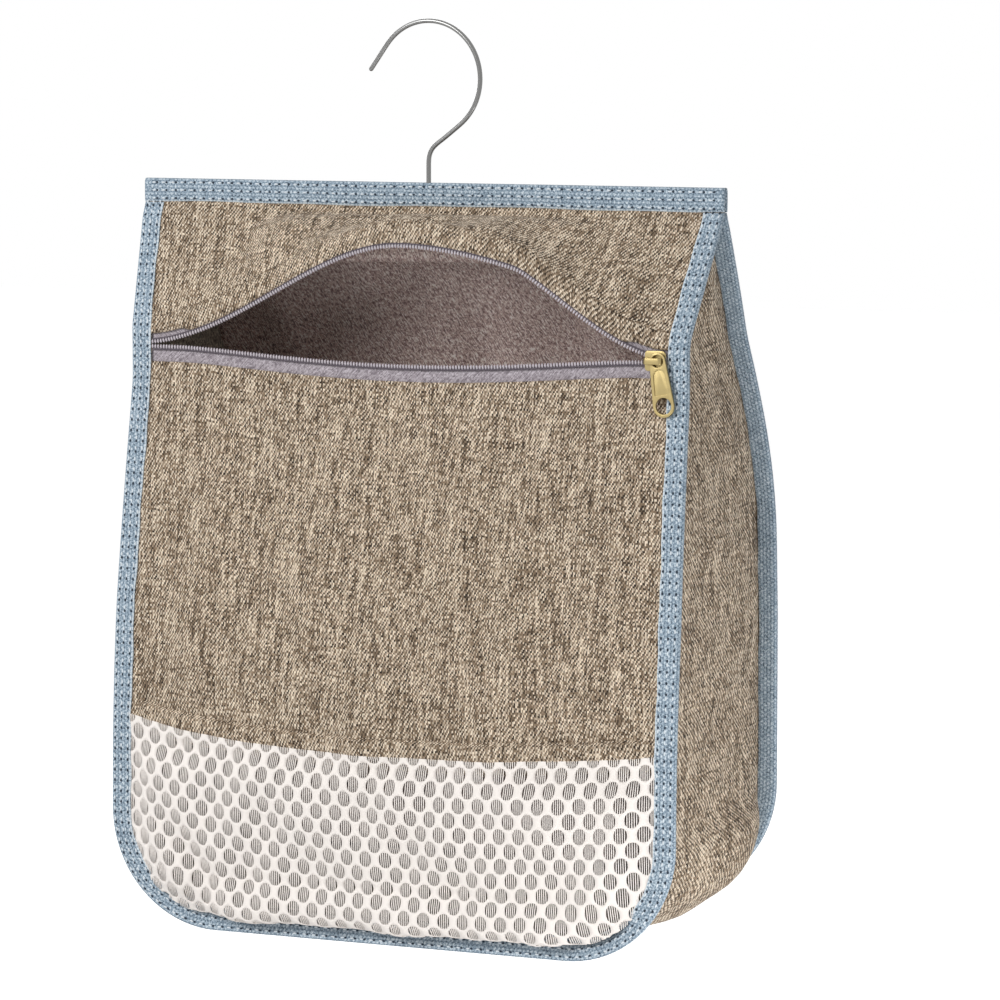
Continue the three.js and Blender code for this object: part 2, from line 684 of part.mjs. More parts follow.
// Mesh window: a net of six-sided gaps with a plain border that is sewn in
function meshWindow() {
  const points = [];
  const triangles = [];
  const border = SEAM_INSET + BINDING_WIDTH;
  const topZ = hemZ - 0.4;
  const netTop = topZ - 5;
  const netFoot = -(FRONT_HEIGHT - border);
  const sewn = BINDING_WIDTH - 0.7;
  const put = (x, z) => points.push(new THREE.Vector3(x, FRONT.profile(z) - swell(x, z), z)) - 1;
  const quad = (a, b, c, d) => triangles.push([a, b, c], [a, c, d]);
  const centreZ = -(FRONT_HEIGHT - CORNER_RADIUS);
  const points2 = 2 * MESH_COLUMNS;
  const zig = 0.16;

  const outer = (z, side) => {
    const sine = clamp01((centreZ - z) / (CORNER_RADIUS - border));
    const half = insetWidth(FRONT, z, border) + sewn * Math.sqrt(1 - sine * sine);
    return put(side * half, z - sewn * sine);
  };
  const lines = [];
  for (let j = 0; j <= MESH_ROWS; j += 1) {
    const line = [];
    for (let i = 0; i <= points2; i += 1) {
      const inner = j > 0 && j < MESH_ROWS && i > 0 && i < points2;
      const lift = inner ? zig * ((i + j) % 2 === 1 ? 1 : -1) : 0;
      const z = netTop + ((netFoot - netTop) * (j - lift)) / MESH_ROWS;
      line.push(put(insetWidth(FRONT, z, border) * (i / MESH_COLUMNS - 1), z));
    }
    lines.push(line);
  }
  for (let j = 0; j < MESH_ROWS; j += 1) {
    const above = lines[j];
    const below = lines[j + 1];
    const odd = j % 2;
    if (odd) {
      quad(above[0], below[0], below[1], above[1]);
      quad(above[points2 - 1], below[points2 - 1], below[points2], above[points2]);
    }
    for (let i = odd; i + 2 <= points2 - odd; i += 2) {
      const rim = [above[i], below[i], below[i + 1], below[i + 2], above[i + 2], above[i + 1]];
      const centre = new THREE.Vector3();
      for (const id of rim) centre.addScaledVector(points[id], 1 / rim.length);
      const hole = rim.map((id) => {
        const p = points[id];
        return put(centre.x + (p.x - centre.x) * MESH_HOLE, centre.z + (p.z - centre.z) * MESH_HOLE);
      });
      for (let k = 0; k < rim.length; k += 1) {
        const next = (k + 1) % rim.length;
        quad(rim[k], rim[next], hole[next], hole[k]);
      }
    }
  }
  const heights = lines.map((line) => points[line[0]].z);
  for (const side of [-1, 1]) {
    const edge = lines.map((line) => (side < 0 ? line[0] : line[points2]));
    const rim = heights.map((z) => outer(z, side));
    const top = [put(points[rim[0]].x, topZ), put(points[edge[0]].x, topZ)];
    const strip = (a, b, c, d) => (side < 0 ? quad(a, b, c, d) : quad(d, c, b, a));
    strip(top[0], rim[0], edge[0], top[1]);
    for (let j = 0; j < MESH_ROWS; j += 1) strip(rim[j], rim[j + 1], edge[j + 1], edge[j]);
    if (side < 0) {
      lines.leftTop = top[1];
      lines.leftFoot = rim[MESH_ROWS];
    } else {
      lines.rightTop = top[1];
      lines.rightFoot = rim[MESH_ROWS];
    }
  }
  const hem = [lines.leftTop];
  const foot = [lines.leftFoot];
  for (let i = 1; i < points2; i += 1) {
    hem.push(put(points[lines[0][i]].x, topZ));
    foot.push(put(points[lines[MESH_ROWS][i]].x, netFoot - sewn));
  }
  hem.push(lines.rightTop);
  foot.push(lines.rightFoot);
  for (let i = 0; i < points2; i += 1) {
    quad(hem[i], lines[0][i], lines[0][i + 1], hem[i + 1]);
    quad(lines[MESH_ROWS][i], foot[i], foot[i + 1], lines[MESH_ROWS][i + 1]);
  }
  return sheet(points, triangles, CLOTH);
}

add('hanger_hook', hangerHook(), LOOKS.steel);
add('hook_washer', hookWasher(), LOOKS.steel);
add('hanger_bar', hangerBar(), LOOKS.wood);
add('top_binding', topBinding(), LOOKS.binding);
add('front_binding', edgeBinding(FRONT), LOOKS.binding);
add('back_binding', edgeBinding(BACK), LOOKS.binding);
add('front_upper_panel', frontUpperPanel(), LOOKS.cloth);
add('front_lower_panel', frontLowerPanel(), LOOKS.cloth);
add('mesh_window', meshWindow(), LOOKS.mesh);
add('back_panel', backPanel(), LOOKS.cloth);
add('gusset', gusset(), LOOKS.cloth);
add('back_lining', backLining(), LOOKS.lining);
add('gusset_lining', gussetLining(), LOOKS.lining);
add('front_lining', frontLining(), LOOKS.lining);
add('zip_tape_upper', zipTape(1, UPPER_TAPE), LOOKS.zip);
add('zip_tape_lower', zipTape(-1, LOWER_TAPE), LOOKS.zip);
add('zip_chain_upper', zipChain(1), LOOKS.zip);
add('zip_chain_lower', zipChain(-1), LOOKS.zip);
add('zip_slider', zipSlider(), LOOKS.brass);
add('zip_pull', zipPull(), LOOKS.brass);

export default bag;
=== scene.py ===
# %% [markdown]
# # A hanging peg bag
# The bag is sewn from woven cloth with a bound edge all round. A slanted front runs down to
# an open zip, a net window lets dirt fall out at the foot, and a wire hook turns in the top
# hem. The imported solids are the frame: this lesson puts a finer piece in place of each one,
# and only the bar and its washer keep theirs. Every shape is worked out in millimetres from
# the bag's top edge, with the front facing -Y, and is placed in the frame as its mesh is made.

# %% Load the frame
import json
import math

import bmesh
import bpy
import numpy as np
from mathutils import Matrix, Vector


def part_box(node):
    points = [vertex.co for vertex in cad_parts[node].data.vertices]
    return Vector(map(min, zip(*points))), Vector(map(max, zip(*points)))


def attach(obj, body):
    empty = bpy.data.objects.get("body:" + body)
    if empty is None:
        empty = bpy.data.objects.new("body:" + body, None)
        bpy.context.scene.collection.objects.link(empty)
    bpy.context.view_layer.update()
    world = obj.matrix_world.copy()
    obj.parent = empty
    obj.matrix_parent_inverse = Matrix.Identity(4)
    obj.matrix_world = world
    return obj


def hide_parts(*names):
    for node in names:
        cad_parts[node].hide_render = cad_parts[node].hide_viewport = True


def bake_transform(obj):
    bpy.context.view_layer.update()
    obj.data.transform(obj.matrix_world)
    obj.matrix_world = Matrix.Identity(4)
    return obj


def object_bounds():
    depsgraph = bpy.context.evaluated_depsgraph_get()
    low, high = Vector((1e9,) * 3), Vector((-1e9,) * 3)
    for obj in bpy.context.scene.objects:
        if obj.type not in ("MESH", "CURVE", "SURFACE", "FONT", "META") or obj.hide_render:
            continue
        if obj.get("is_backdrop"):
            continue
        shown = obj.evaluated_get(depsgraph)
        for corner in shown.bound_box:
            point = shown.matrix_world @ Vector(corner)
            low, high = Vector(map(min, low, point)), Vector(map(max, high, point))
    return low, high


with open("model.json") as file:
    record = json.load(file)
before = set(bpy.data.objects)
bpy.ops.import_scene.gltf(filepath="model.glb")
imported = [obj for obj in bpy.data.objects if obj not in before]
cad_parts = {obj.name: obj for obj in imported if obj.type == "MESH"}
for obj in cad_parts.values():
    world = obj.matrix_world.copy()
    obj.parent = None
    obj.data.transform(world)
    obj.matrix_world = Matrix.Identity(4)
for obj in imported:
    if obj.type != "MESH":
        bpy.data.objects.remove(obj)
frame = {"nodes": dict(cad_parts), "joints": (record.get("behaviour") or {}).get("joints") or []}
cad_low, cad_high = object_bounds()
scene = bpy.context.scene
scene.view_settings.view_transform = "Standard"

MM = 0.001
TOP_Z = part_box("top_binding")[1].z
print("frame", [round(v, 4) for v in (*cad_low, *cad_high)], "top edge", round(TOP_Z, 4))

# %% [markdown]
# ## The bag's own lines
# Cloth that is sewn together shares its seams, so front, back, gusset and bindings all read
# the same few lines: the front and back as seen from the side, and the half width. Each is a
# row of knots whose corners are rounded over a few millimetres, as cloth rounds them. They
# could be drawn in the viewport, but knots in millimetres can be read and changed by hand.

# %% Lines seen from the side
STEP = 0.5
HEIGHTS = np.arange(-370.0, 0.5, STEP)


def smooth(t):
    """Rises from 0 to 1 with no corner at either end."""
    t = np.clip(t, 0.0, 1.0)
    return t * t * (3 - 2 * t)


def rounded_line(knots, window):
    """A table over HEIGHTS of the line through some knots, averaged over a window."""
    knots = sorted(knots)
    table = np.interp(HEIGHTS, [k[0] for k in knots], [k[1] for k in knots])
    span = int(window / STEP) | 1
    return np.convolve(np.pad(table, span // 2, mode="edge"), np.ones(span) / span, mode="valid")


ZIP_Z = -77.0
ZIP_TOP = -69
ZIP_Y = -25.5
BAND_FOOT = -94.0
FRONT_FOOT = -350.0
BACK_FOOT = -335.0
CORNER = 55.0
HEM_FOOT = -10.6
HEM_HALF = 0.53
NECK = -14.5
NECK_HALF = 2.6
SPREAD = -17
SPREAD_HALF = 4.4
BACK_FULL = -167
FRONT_BOW = 18.0
BACK_BOW = 67.6
TOP_HALF = 150
ZIP_HALF = 143.5
FOOT_HALF = 145.5
SEAM_ROUND = 5
SIDE_ROUND = 12
print("front", -FRONT_FOOT, "mm high, back", -BACK_FOOT, "mm")

# %% Knots of the lines
front_knots = [(0, -HEM_HALF), (HEM_FOOT, -HEM_HALF), (NECK, -NECK_HALF), (SPREAD, -SPREAD_HALF)]
front_knots += [(-20, -5.4), (-66, -24.5), (ZIP_TOP, ZIP_Y)]
for z in np.linspace(BAND_FOOT, FRONT_FOOT + CORNER, 22):
    fall = (BAND_FOOT - z) / (BAND_FOOT - FRONT_FOOT - CORNER)
    front_knots.append((z, ZIP_Y - FRONT_BOW * math.sin(fall * math.pi / 2)))
back_knots = [(0, HEM_HALF), (HEM_FOOT, HEM_HALF), (NECK, NECK_HALF)]
for z in np.linspace(SPREAD, BACK_FULL, 22):
    fall = (SPREAD - z) / (SPREAD - BACK_FULL)
    back_knots.append((z, SPREAD_HALF + BACK_BOW * math.sin(fall * math.pi / 2)))
width_knots = [(0, TOP_HALF), (NECK, TOP_HALF), (ZIP_TOP, ZIP_HALF), (BAND_FOOT, ZIP_HALF)]
width_knots.append((-200, FOOT_HALF))

FRONT_LINE = rounded_line(front_knots, SEAM_ROUND)
BACK_LINE = rounded_line(back_knots, SEAM_ROUND)
WIDTH_LINE = rounded_line(width_knots, SIDE_ROUND)


def front_y(z):
    return np.interp(z, HEIGHTS, FRONT_LINE)


def back_y(z):
    return np.interp(z, HEIGHTS, BACK_LINE)


def half_width(z):
    return np.interp(z, HEIGHTS, WIDTH_LINE)


print("front reaches", FRONT_LINE.min().round(1), "mm, back", BACK_LINE.max().round(1), "mm")

# %% [markdown]
# ## Two faces and their edges
# Front and back are flat cuts with rounded lower corners. One short description serves both:
# where the foot is, which way is inside, and how deep the foot's binding is tucked in, as it is
# at the front under the net. Two drawn outlines would do for the cuts alone. Here each station
# on an edge also knows its inward direction, so tapes, stitches and cloth are all set at an
# inset from one line and meet without gaps.

# %% Front and back face
FRONT = {"foot": FRONT_FOOT, "y": front_y, "inside": 1.0, "tuck": 7.5}
BACK = {"foot": BACK_FOOT, "y": back_y, "inside": -1.0, "tuck": 0.0}
SWELL = 12.0
SWELL_IN = 11.5


def inset_width(face, z, inset):
    """Half width of a face at height z, measured to a line that runs inset from its edge."""
    below = np.maximum(0.0, face["foot"] + CORNER - z)
    radius = CORNER - inset
    corner = np.sqrt(np.maximum(0.0, radius**2 - below**2)) - CORNER
    return half_width(z) + np.where(below > 0, corner, -inset)


def swell(x, z):
    """How far the filled front stands out between its seams."""
    down = np.clip((BAND_FOOT - z) / (BAND_FOOT - FRONT_FOOT - SWELL_IN), 0, 1)
    across = np.clip(np.abs(x) / np.maximum(inset_width(FRONT, z, SWELL_IN), 1.0), 0, 1)
    return SWELL * (1 - across**2) * np.sin(np.pi * down**1.5)


print("front swells", swell(0.0, HEIGHTS).max().round(1), "mm in the middle")

# %% Edges and seams
TAPE_WIDE = 10.2
TUCK_FROM = 0.6


def edge_of(face, top, side_steps=96, arc_steps=20, foot_steps=56):
    """Stations round a face's outer edge: x, z and the inward direction, left to right."""
    centre = face["foot"] + CORNER
    side = np.linspace(top, centre, side_steps)
    angle = np.linspace(0, math.pi / 2, arc_steps + 1)[1:]
    centre_x = half_width(centre) - CORNER
    x = np.concatenate([-half_width(side), -centre_x - CORNER * np.cos(angle)])
    z = np.concatenate([side, centre - CORNER * np.sin(angle)])
    in_x = np.concatenate([np.ones(side_steps), np.cos(angle)])
    in_z = np.concatenate([np.zeros(side_steps), np.sin(angle)])
    flat = np.linspace(-centre_x, centre_x, foot_steps + 1)[1:-1]
    none = np.zeros(len(flat))
    edge = {
        "x": np.concatenate([x, flat, -x[::-1]]),
        "z": np.concatenate([z, none + face["foot"], z[::-1]]),
        "in_x": np.concatenate([in_x, none, -in_x[::-1]]),
        "in_z": np.concatenate([in_z, none + 1, in_z[::-1]]),
    }
    line = np.stack([edge["x"], face["y"](edge["z"]), edge["z"]], axis=1)
    edge["s"] = np.concatenate([[0], np.cumsum(np.linalg.norm(np.diff(line, axis=0), axis=1))])
    return edge


def seam(face, edge, inset, depth):
    """Points at an inset from a face's edge and a depth behind its cloth, tucked in at the foot."""
    x = edge["x"] + edge["in_x"] * inset
    z = edge["z"] + edge["in_z"] * inset
    at_foot = smooth((edge["in_z"] - TUCK_FROM) / (1 - TUCK_FROM))
    tucked = face["tuck"] * at_foot * np.clip(inset / TAPE_WIDE, 0, 1)
    return np.stack([x, face["y"](z) + face["inside"] * (depth + tucked), z], axis=1)


print("edge from neck to neck", round(edge_of(FRONT, NECK)["s"][-1]), "mm at the front")

# %% [markdown]
# ## Finishes
# A finish starts from what the material is and how it was made. One function adds a node and
# links it, and colours are written as sRGB hex and turned to linear light. Patterns that
# follow the cloth read each piece's UV map, which holds the length along it in metres.

# %% Colours and nodes


def linear(code):
    parts = [int(code[i : i + 2], 16) / 255 for i in (0, 2, 4)]
    return (*[p / 12.92 if p <= 0.04045 else ((p + 0.055) / 1.055) ** 2.4 for p in parts], 1.0)


def add(tree, kind, settings=None, inputs=None, stops=()):
    """Adds a node, sets it, links or sets its inputs, and gives a ramp its colour stops."""
    made = tree.nodes.new(kind)
    for key, value in (settings or {}).items():
        setattr(made, key, value)
    for key, value in (inputs or {}).items():
        if isinstance(value, bpy.types.NodeSocket):
            tree.links.new(value, made.inputs[key])
        else:
            made.inputs[key].default_value = value
    for place, (at, code) in enumerate(stops):
        band = made.color_ramp.elements
        element = band[place] if place < len(band) else band.new(at)
        element.position = at
        element.color = linear(code)
    return made


def start_finish(name, **sockets):
    """A new material with a bare Principled shader whose plain sockets are set."""
    finish = bpy.data.materials.new(name)
    finish.use_nodes = True
    tree = finish.node_tree
    shader = tree.nodes["Principled BSDF"]
    for key, value in sockets.items():
        shader.inputs[key.replace("_", " ")].default_value = value
    return finish, tree, shader


print("mid grey 808080 is", round(linear("808080")[0], 3), "in linear light")

# %% Threads, streaks and relief
MATH = "ShaderNodeMath"
VECTOR_MATH = "ShaderNodeVectorMath"
NOISE = "ShaderNodeTexNoise"
RANDOM = "ShaderNodeTexWhiteNoise"
COMBINE = "ShaderNodeCombineXYZ"
FLAT = {"noise_dimensions": "2D"}
DRIFT_SCALE = 0.09
RELIEF_SHARE = 0.5


def threads_of(tree, pitch_u, pitch_v, wander=0.0):
    """The cut counted in threads, which may wander: whole numbers as a vector, counts, numbers."""
    cut = add(tree, "ShaderNodeTexCoord").outputs["UV"]
    scale = (1 / (pitch_u * MM), 1 / (pitch_v * MM), 1)
    count = add(tree, VECTOR_MATH, {"operation": "MULTIPLY"}, {0: cut, 1: scale}).outputs[0]
    if wander:
        slow = {"Vector": count, "Scale": DRIFT_SCALE, "Detail": 1.0}
        drift = add(tree, NOISE, FLAT, slow).outputs["Color"]
        moved = {0: drift, 1: (wander, wander, 0), 2: count}
        count = add(tree, VECTOR_MATH, {"operation": "MULTIPLY_ADD"}, moved).outputs[0]
    whole = add(tree, VECTOR_MATH, {"operation": "FLOOR"}, {0: count}).outputs[0]
    run = add(tree, "ShaderNodeSeparateXYZ", None, {0: count}).outputs
    number = add(tree, "ShaderNodeSeparateXYZ", None, {0: whole}).outputs
    return whole, run, number


def streaks(tree, u, v, scale_u, scale_v, detail=1.0):
    """Noise that is stretched along one way of the cloth."""
    wide = add(tree, MATH, {"operation": "MULTIPLY"}, {0: u, 1: scale_u}).outputs[0]
    tall = add(tree, MATH, {"operation": "MULTIPLY"}, {0: v, 1: scale_v}).outputs[0]
    place = add(tree, COMBINE, None, {0: wide, 1: tall}).outputs[0]
    return add(tree, NOISE, FLAT, {"Vector": place, "Scale": 1.0, "Detail": detail}).outputs[0]


def blend_of(tree, parts):
    """The sum of some values, each times its own share."""
    total = 0.0
    for value, share in parts:
        inputs = {0: value, 1: share, 2: total}
        total = add(tree, MATH, {"operation": "MULTIPLY_ADD"}, inputs).outputs[0]
    return total


def colour_and_bump(tree, shader, height, stops, depth_mm):
    """Shades a surface from one value: a colour ramp, and a low relief."""
    colour = add(tree, "ShaderNodeValToRGB", None, {0: height}, stops)
    tree.links.new(colour.outputs[0], shader.inputs["Base Color"])
    relief = {"Strength": RELIEF_SHARE, "Distance": depth_mm * MM, "Height": height}
    bump = add(tree, "ShaderNodeBump", None, relief)
    tree.links.new(bump.outputs[0], shader.inputs["Normal"])


print("yarns drift over about", round(1 / DRIFT_SCALE), "threads")

# %% [markdown]
# ### Linen-look polyester
# The cloth is woven from pale and dark yarns. Each yarn goes over its neighbour one step higher
# than the last, which reads as short steep ticks that lean to the right. Uneven yarns draw
# upright streaks and shorter crosswise ones, and long faint bands lie over them. A picture of
# cloth would be quicker, but it has one size only: here each thread is counted along the cloth.
# The real yarns are under half a millimetre. They are drawn a little larger, so that a picture
# of this size shows the ticks instead of blurring them.

# %% Woven cloth
WARP_PITCH = 0.58
WEFT_PITCH = 0.95
WEAVE_REPEAT = 3.0
YARN_WANDER = 2.4
YARN_APART = 5.17


def woven_cloth(name, stops):
    finish, tree, shader = start_finish(name, Roughness=0.92, Sheen_Weight=0.05)
    whole, run, number = threads_of(tree, WARP_PITCH, WEFT_PITCH, YARN_WANDER)
    turn = add(tree, MATH, {"operation": "SUBTRACT"}, {0: number[0], 1: number[1]}).outputs[0]
    over = add(tree, MATH, {"operation": "FLOORED_MODULO"}, {0: turn, 1: WEAVE_REPEAT}).outputs[0]
    crossing = add(tree, RANDOM, FLAT, {"Vector": whole}).outputs[0]
    warp = streaks(tree, number[0], run[1], YARN_APART, 0.06)
    weft = streaks(tree, run[0], number[1], 0.08, YARN_APART)
    slub = streaks(tree, run[0], run[1], 0.16, 0.018, 2.0)
    shares = [(over, 0.14), (crossing, 0.26), (warp, 0.46), (weft, 0.28), (slub, 0.15)]
    mixed = blend_of(tree, shares)
    colour_and_bump(tree, shader, mixed, stops, 0.3)
    return finish


# Dark, middle and pale yarn, matt all over as spun polyester is.
CLOTH_STOPS = [(0.515, "2e2217"), (0.73, "907b64"), (0.915, "efdfc9")]
CLOTH = woven_cloth("linen_look_polyester", CLOTH_STOPS)
print("cloth yarns drawn", WARP_PITCH, "mm apart")

# %% [markdown]
# ### Binding tape, lining and zip tape
# The binding is a soft knitted tape: fuzzy, with small dark loops in staggered rows and a paler
# rim along its inner edge. The lining is a thin twill whose pale flecks lean over, those of the
# darker, greyer side lining stand upright, and the zip's tape is a closer twill. Loops could be
# modelled as curves, but there are thousands of them and none stands up far enough to show at an
# edge, so all are shaded and counted along the cloth as the weave is. Real loops and twill lines
# are about half a millimetre, and both are drawn coarser so that they show.

# %% Tape and lining
LOOP_LONG = 2.1
LOOP_WIDE = 1.7
TWILL = 0.7


def knitted_tape(name, stops):
    finish, tree, shader = start_finish(name, Roughness=0.88, Sheen_Weight=0.08)
    whole, run, number = threads_of(tree, LOOP_LONG, LOOP_WIDE)
    half_step = {0: number[1], 1: 0.5, 2: run[0]}
    stagger = add(tree, MATH, {"operation": "MULTIPLY_ADD"}, half_step).outputs[0]
    along = add(tree, MATH, {"operation": "PINGPONG"}, {0: stagger, 1: 0.5}).outputs[0]
    across = add(tree, MATH, {"operation": "PINGPONG"}, {0: run[1], 1: 0.5}).outputs[0]
    loop = add(tree, MATH, {"operation": "ADD"}, {0: along, 1: across}).outputs[0]
    fuzz = add(tree, RANDOM, FLAT, {"Vector": whole}).outputs[0]
    grain = streaks(tree, run[0], run[1], 3.0, 2.4, 3.0)
    fade = {0: run[1], 1: 0.35, 2: 0.85, 3: 1.0, 4: 0.0}
    rim = add(tree, "ShaderNodeMapRange", {"clamp": True}, fade).outputs[0]
    mixed = blend_of(tree, [(loop, 0.3), (fuzz, 0.1), (grain, 0.65), (rim, 0.15)])
    colour_and_bump(tree, shader, mixed, stops, 0.4)
    return finish


def fine_twill(name, stops, lean):
    """Thin cloth whose flecks lean by a number of threads for each thread up."""
    finish, tree, shader = start_finish(name, Roughness=0.75)
    whole, run, _ = threads_of(tree, TWILL, TWILL)
    slant = {0: run[1], 1: lean, 2: run[0]}
    leaning = add(tree, MATH, {"operation": "MULTIPLY_ADD"}, slant).outputs[0]
    fleck = streaks(tree, leaning, run[1], 1.1, 0.24, 2.0)
    fuzz = add(tree, RANDOM, FLAT, {"Vector": whole}).outputs[0]
    mixed = blend_of(tree, [(fleck, 0.75), (fuzz, 0.25)])
    colour_and_bump(tree, shader, mixed, stops, 0.2)
    return finish


TAPE_STOPS = [(0.32, "3f4d5a"), (0.45, "7b8e9f"), (0.57, "9fb1c0"), (0.73, "dbe5ec")]
TAPE = knitted_tape("knitted_polyester_tape", TAPE_STOPS)
LINING_STOPS = [(0.3, "7d6664"), (0.5, "d0b3ab"), (0.68, "fff6f0")]
LINING = fine_twill("polyester_lining", LINING_STOPS, 0.35)
# The side lining is drawn darker and greyer than the back lining.
SIDE_STOPS = [(0.3, "65625a"), (0.5, "a39d90"), (0.7, "dcd6c6")]
SIDE_LINING = fine_twill("darker_side_lining", SIDE_STOPS, 0.0)
ZIP_STOPS = [(0.3, "766d74"), (0.5, "a1989e"), (0.72, "c9c1c8")]
ZIP_TAPE = fine_twill("woven_zip_tape", ZIP_STOPS, 1.0)
print("tape loops", LOOP_LONG, "by", LOOP_WIDE, "mm")

# %% [markdown]
# ### Plain finishes
# Net yarn, zip coil, cord and thread are one colour each, so plain sockets are enough. The
# slider is cast zinc plated with brass, and the hook is drawn steel wire with a zinc coat. A
# slow noise moves the roughness of both, as handling and plating do. The bar is a planed
# wooden batten inside the hem.

# %% Metal, net and wood


def plain(name, code, **sockets):
    finish, _, shader = start_finish(name, **sockets)
    shader.inputs["Base Color"].default_value = linear(code)
    return finish


def worn_metal(name, code, low, high, grain_mm):
    """A metal whose roughness drifts between two values over a grain in millimetres."""
    finish, tree, shader = start_finish(name, Metallic=1.0)
    shader.inputs["Base Color"].default_value = linear(code)
    place = add(tree, "ShaderNodeTexCoord").outputs["Object"]
    size = {"Vector": place, "Scale": 1 / (grain_mm * MM), "Detail": 3.0}
    bloom = add(tree, NOISE, None, size).outputs[0]
    spread = {0: bloom, 1: 0.3, 2: 0.7, 3: low, 4: high}
    rough = add(tree, "ShaderNodeMapRange", {"clamp": True}, spread).outputs[0]
    tree.links.new(rough, shader.inputs["Roughness"])
    return finish


# Fine filament scatters the light, so the net is matt and white with a faint sheen.
NET_YARN = plain("white_polyester_net", "faf3ed", Roughness=0.75, Sheen_Weight=0.1)
# Drawn nylon is smooth and takes a small highlight on each turn. Its cord is dull, and its dark
# colour is partly its own and partly painted shade from the coil.
COIL = plain("nylon_zip_coil", "c9c1c8", Roughness=0.35)
COIL_CORD_AND_SHADE = plain("zip_cord_and_painted_shade", "5a525a", Roughness=0.8)
# Pale thread stands out from the tape, and each needle hole is a dark dot of painted shade.
THREAD = plain("polyester_thread", "dfe7ed", Roughness=0.7)
NEEDLE_HOLE_SHADE = plain("needle_hole_shade", "2b3643", Roughness=0.9)
# Thin brass over zinc is a greyish yellow with a satin gloss.
BRASS = worn_metal("brass_plated_zinc", "a8976a", 0.3, 0.46, 3.0)
# A zinc coat on drawn wire is grey and fairly bright, with long streaks of light.
STEEL = worn_metal("zinc_coated_steel_wire", "7f7f7e", 0.18, 0.28, 9.0)
# Planed pine is pale and matt.
BAR_WOOD = plain("pine_batten", "c2a67c", Roughness=0.7)
print("finishes", len(bpy.data.materials))

# %% [markdown]
# ## Sheets of cloth
# A panel is a grid of points that follows the bag's lines, given thickness by Solidify. A
# cloth simulation could drape the panels too, but folds that are worked out from a panel's own
# lines stay where they are when a size changes. The same small functions make every panel, so
# each one has the length along it as UV and faces outwards.

# %% Meshes from grids


def bag_piece(name, points, faces, uv, finish):
    """A mesh from points in the bag's millimetres. uv holds the cut in millimetres."""
    mesh = bpy.data.meshes.new(name)
    placed = np.asarray(points, float).reshape(-1, 3) * MM + (0, 0, TOP_Z)
    mesh.from_pydata(placed.tolist(), [], faces)
    if uv is not None:
        corner = np.zeros(len(mesh.loops), np.int32)
        mesh.loops.foreach_get("vertex_index", corner)
        layer = mesh.uv_layers.new(name="cut")
        flat = np.asarray(uv, float).reshape(-1, 2)[corner] * MM
        layer.data.foreach_set("uv", flat.astype(np.float32).ravel())
    mesh.shade_smooth()
    mesh.materials.append(finish)
    obj = bpy.data.objects.new(name, mesh)
    scene.collection.objects.link(obj)
    return obj


def grid_faces(rows, columns):
    r, c = np.meshgrid(np.arange(rows - 1), np.arange(columns - 1), indexing="ij")
    a = (r * columns + c).ravel()
    return np.stack([a, a + columns, a + columns + 1, a + 1], axis=1).tolist()


def turn_out(obj, direction):
    """Faces a grid towards a direction."""
    normals = np.array([p.normal for p in obj.data.polygons])
    if (normals @ np.array(direction)).mean() < 0:
        obj.data.flip_normals()


def thicken(obj, millimetres):
    wall = obj.modifiers.new("cloth thickness", "SOLIDIFY")
    wall.thickness = millimetres * MM
    wall.offset = 0.0


print("a grid of 3 by 3 points has", len(grid_faces(3, 3)), "faces")

# %% Cut and folds of a sheet


def cut_size(grid):
    """Flat width, length and area in metres of a sheet that was laid out as a grid."""
    across = np.linalg.norm(np.diff(grid, axis=1), axis=2).sum(axis=1).max()
    down = np.linalg.norm(np.diff(grid, axis=0), axis=2).sum(axis=0).max()
    a, b = np.diff(grid, axis=1)[:-1], np.diff(grid, axis=0)[:, :-1]
    area = np.linalg.norm(np.cross(a, b), axis=2).sum()
    return (across * MM, down * MM), min(area, across * down) * MM * MM


def flat_cut(grid):
    """UV of a grid as the running length across and down it."""
    across = np.linalg.norm(np.diff(grid, axis=1), axis=2)
    down = np.linalg.norm(np.diff(grid, axis=0), axis=2)
    middle = grid.shape[1] // 2
    u = np.concatenate([np.zeros((grid.shape[0], 1)), np.cumsum(across, axis=1)], axis=1)
    v = np.concatenate([np.zeros((1, grid.shape[1])), np.cumsum(down, axis=0)], axis=0)
    u = u - u[:, middle : middle + 1]
    return np.stack([u, -v], axis=2)


def folds(x, z, waves):
    """A few long soft waves: height, wavelength across, wavelength down, and start."""
    total = np.zeros(np.broadcast(x, z).shape)
    for height, long_x, long_z, start in waves:
        total = total + height * np.sin(2 * math.pi * (x / long_x + z / long_z) + start)
    return total


print("one wave of 10 mm is", folds(2.5, 0.0, [(1.0, 10, 99, 0.0)]).round(2), "high at its crest")

# %% Sheets of cloth
FRONTWARD = (0, -1, 0)
REARWARD = (0, 1, 0)
LINING_THICK = 0.4
OUTER_CLOTH = (0.8, CLOTH, "cloth")
INNER_LINING = (LINING_THICK, LINING, "lining")
DARK_LINING = (LINING_THICK, SIDE_LINING, "lining")


def cloth_sheet(name, node, grid, cut, outward, stuff):
    """A sheet of some stuff over a grid, in place of a node of the frame."""
    millimetres, finish, slot = stuff
    rows, columns = grid.shape[:2]
    obj = bag_piece(name, grid, grid_faces(rows, columns), cut, finish)
    turn_out(obj, outward)
    thicken(obj, millimetres)
    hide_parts(node)
    return obj


print("cloth", OUTER_CLOTH[0], "mm thick, lining", LINING_THICK, "mm")

# %% [markdown]
# ## The zip's two lips
# The lower lip sags a little between its ends, and the upper lip is pushed up into an arch. An
# open and a closed line could both be drawn, but they might not agree with the joint. The
# frame's lip joint says how far and which way the arch travels when the zip closes, so the open
# shape is the closed line plus a share of that travel.

# %% Lip lines
lip_joint = next(j for j in frame["joints"] if j["name"] == "lip_close")
TRAVEL = -np.array(lip_joint["axis"]) * lip_joint["range_m"][1] / MM
ZIP_END = 132.5
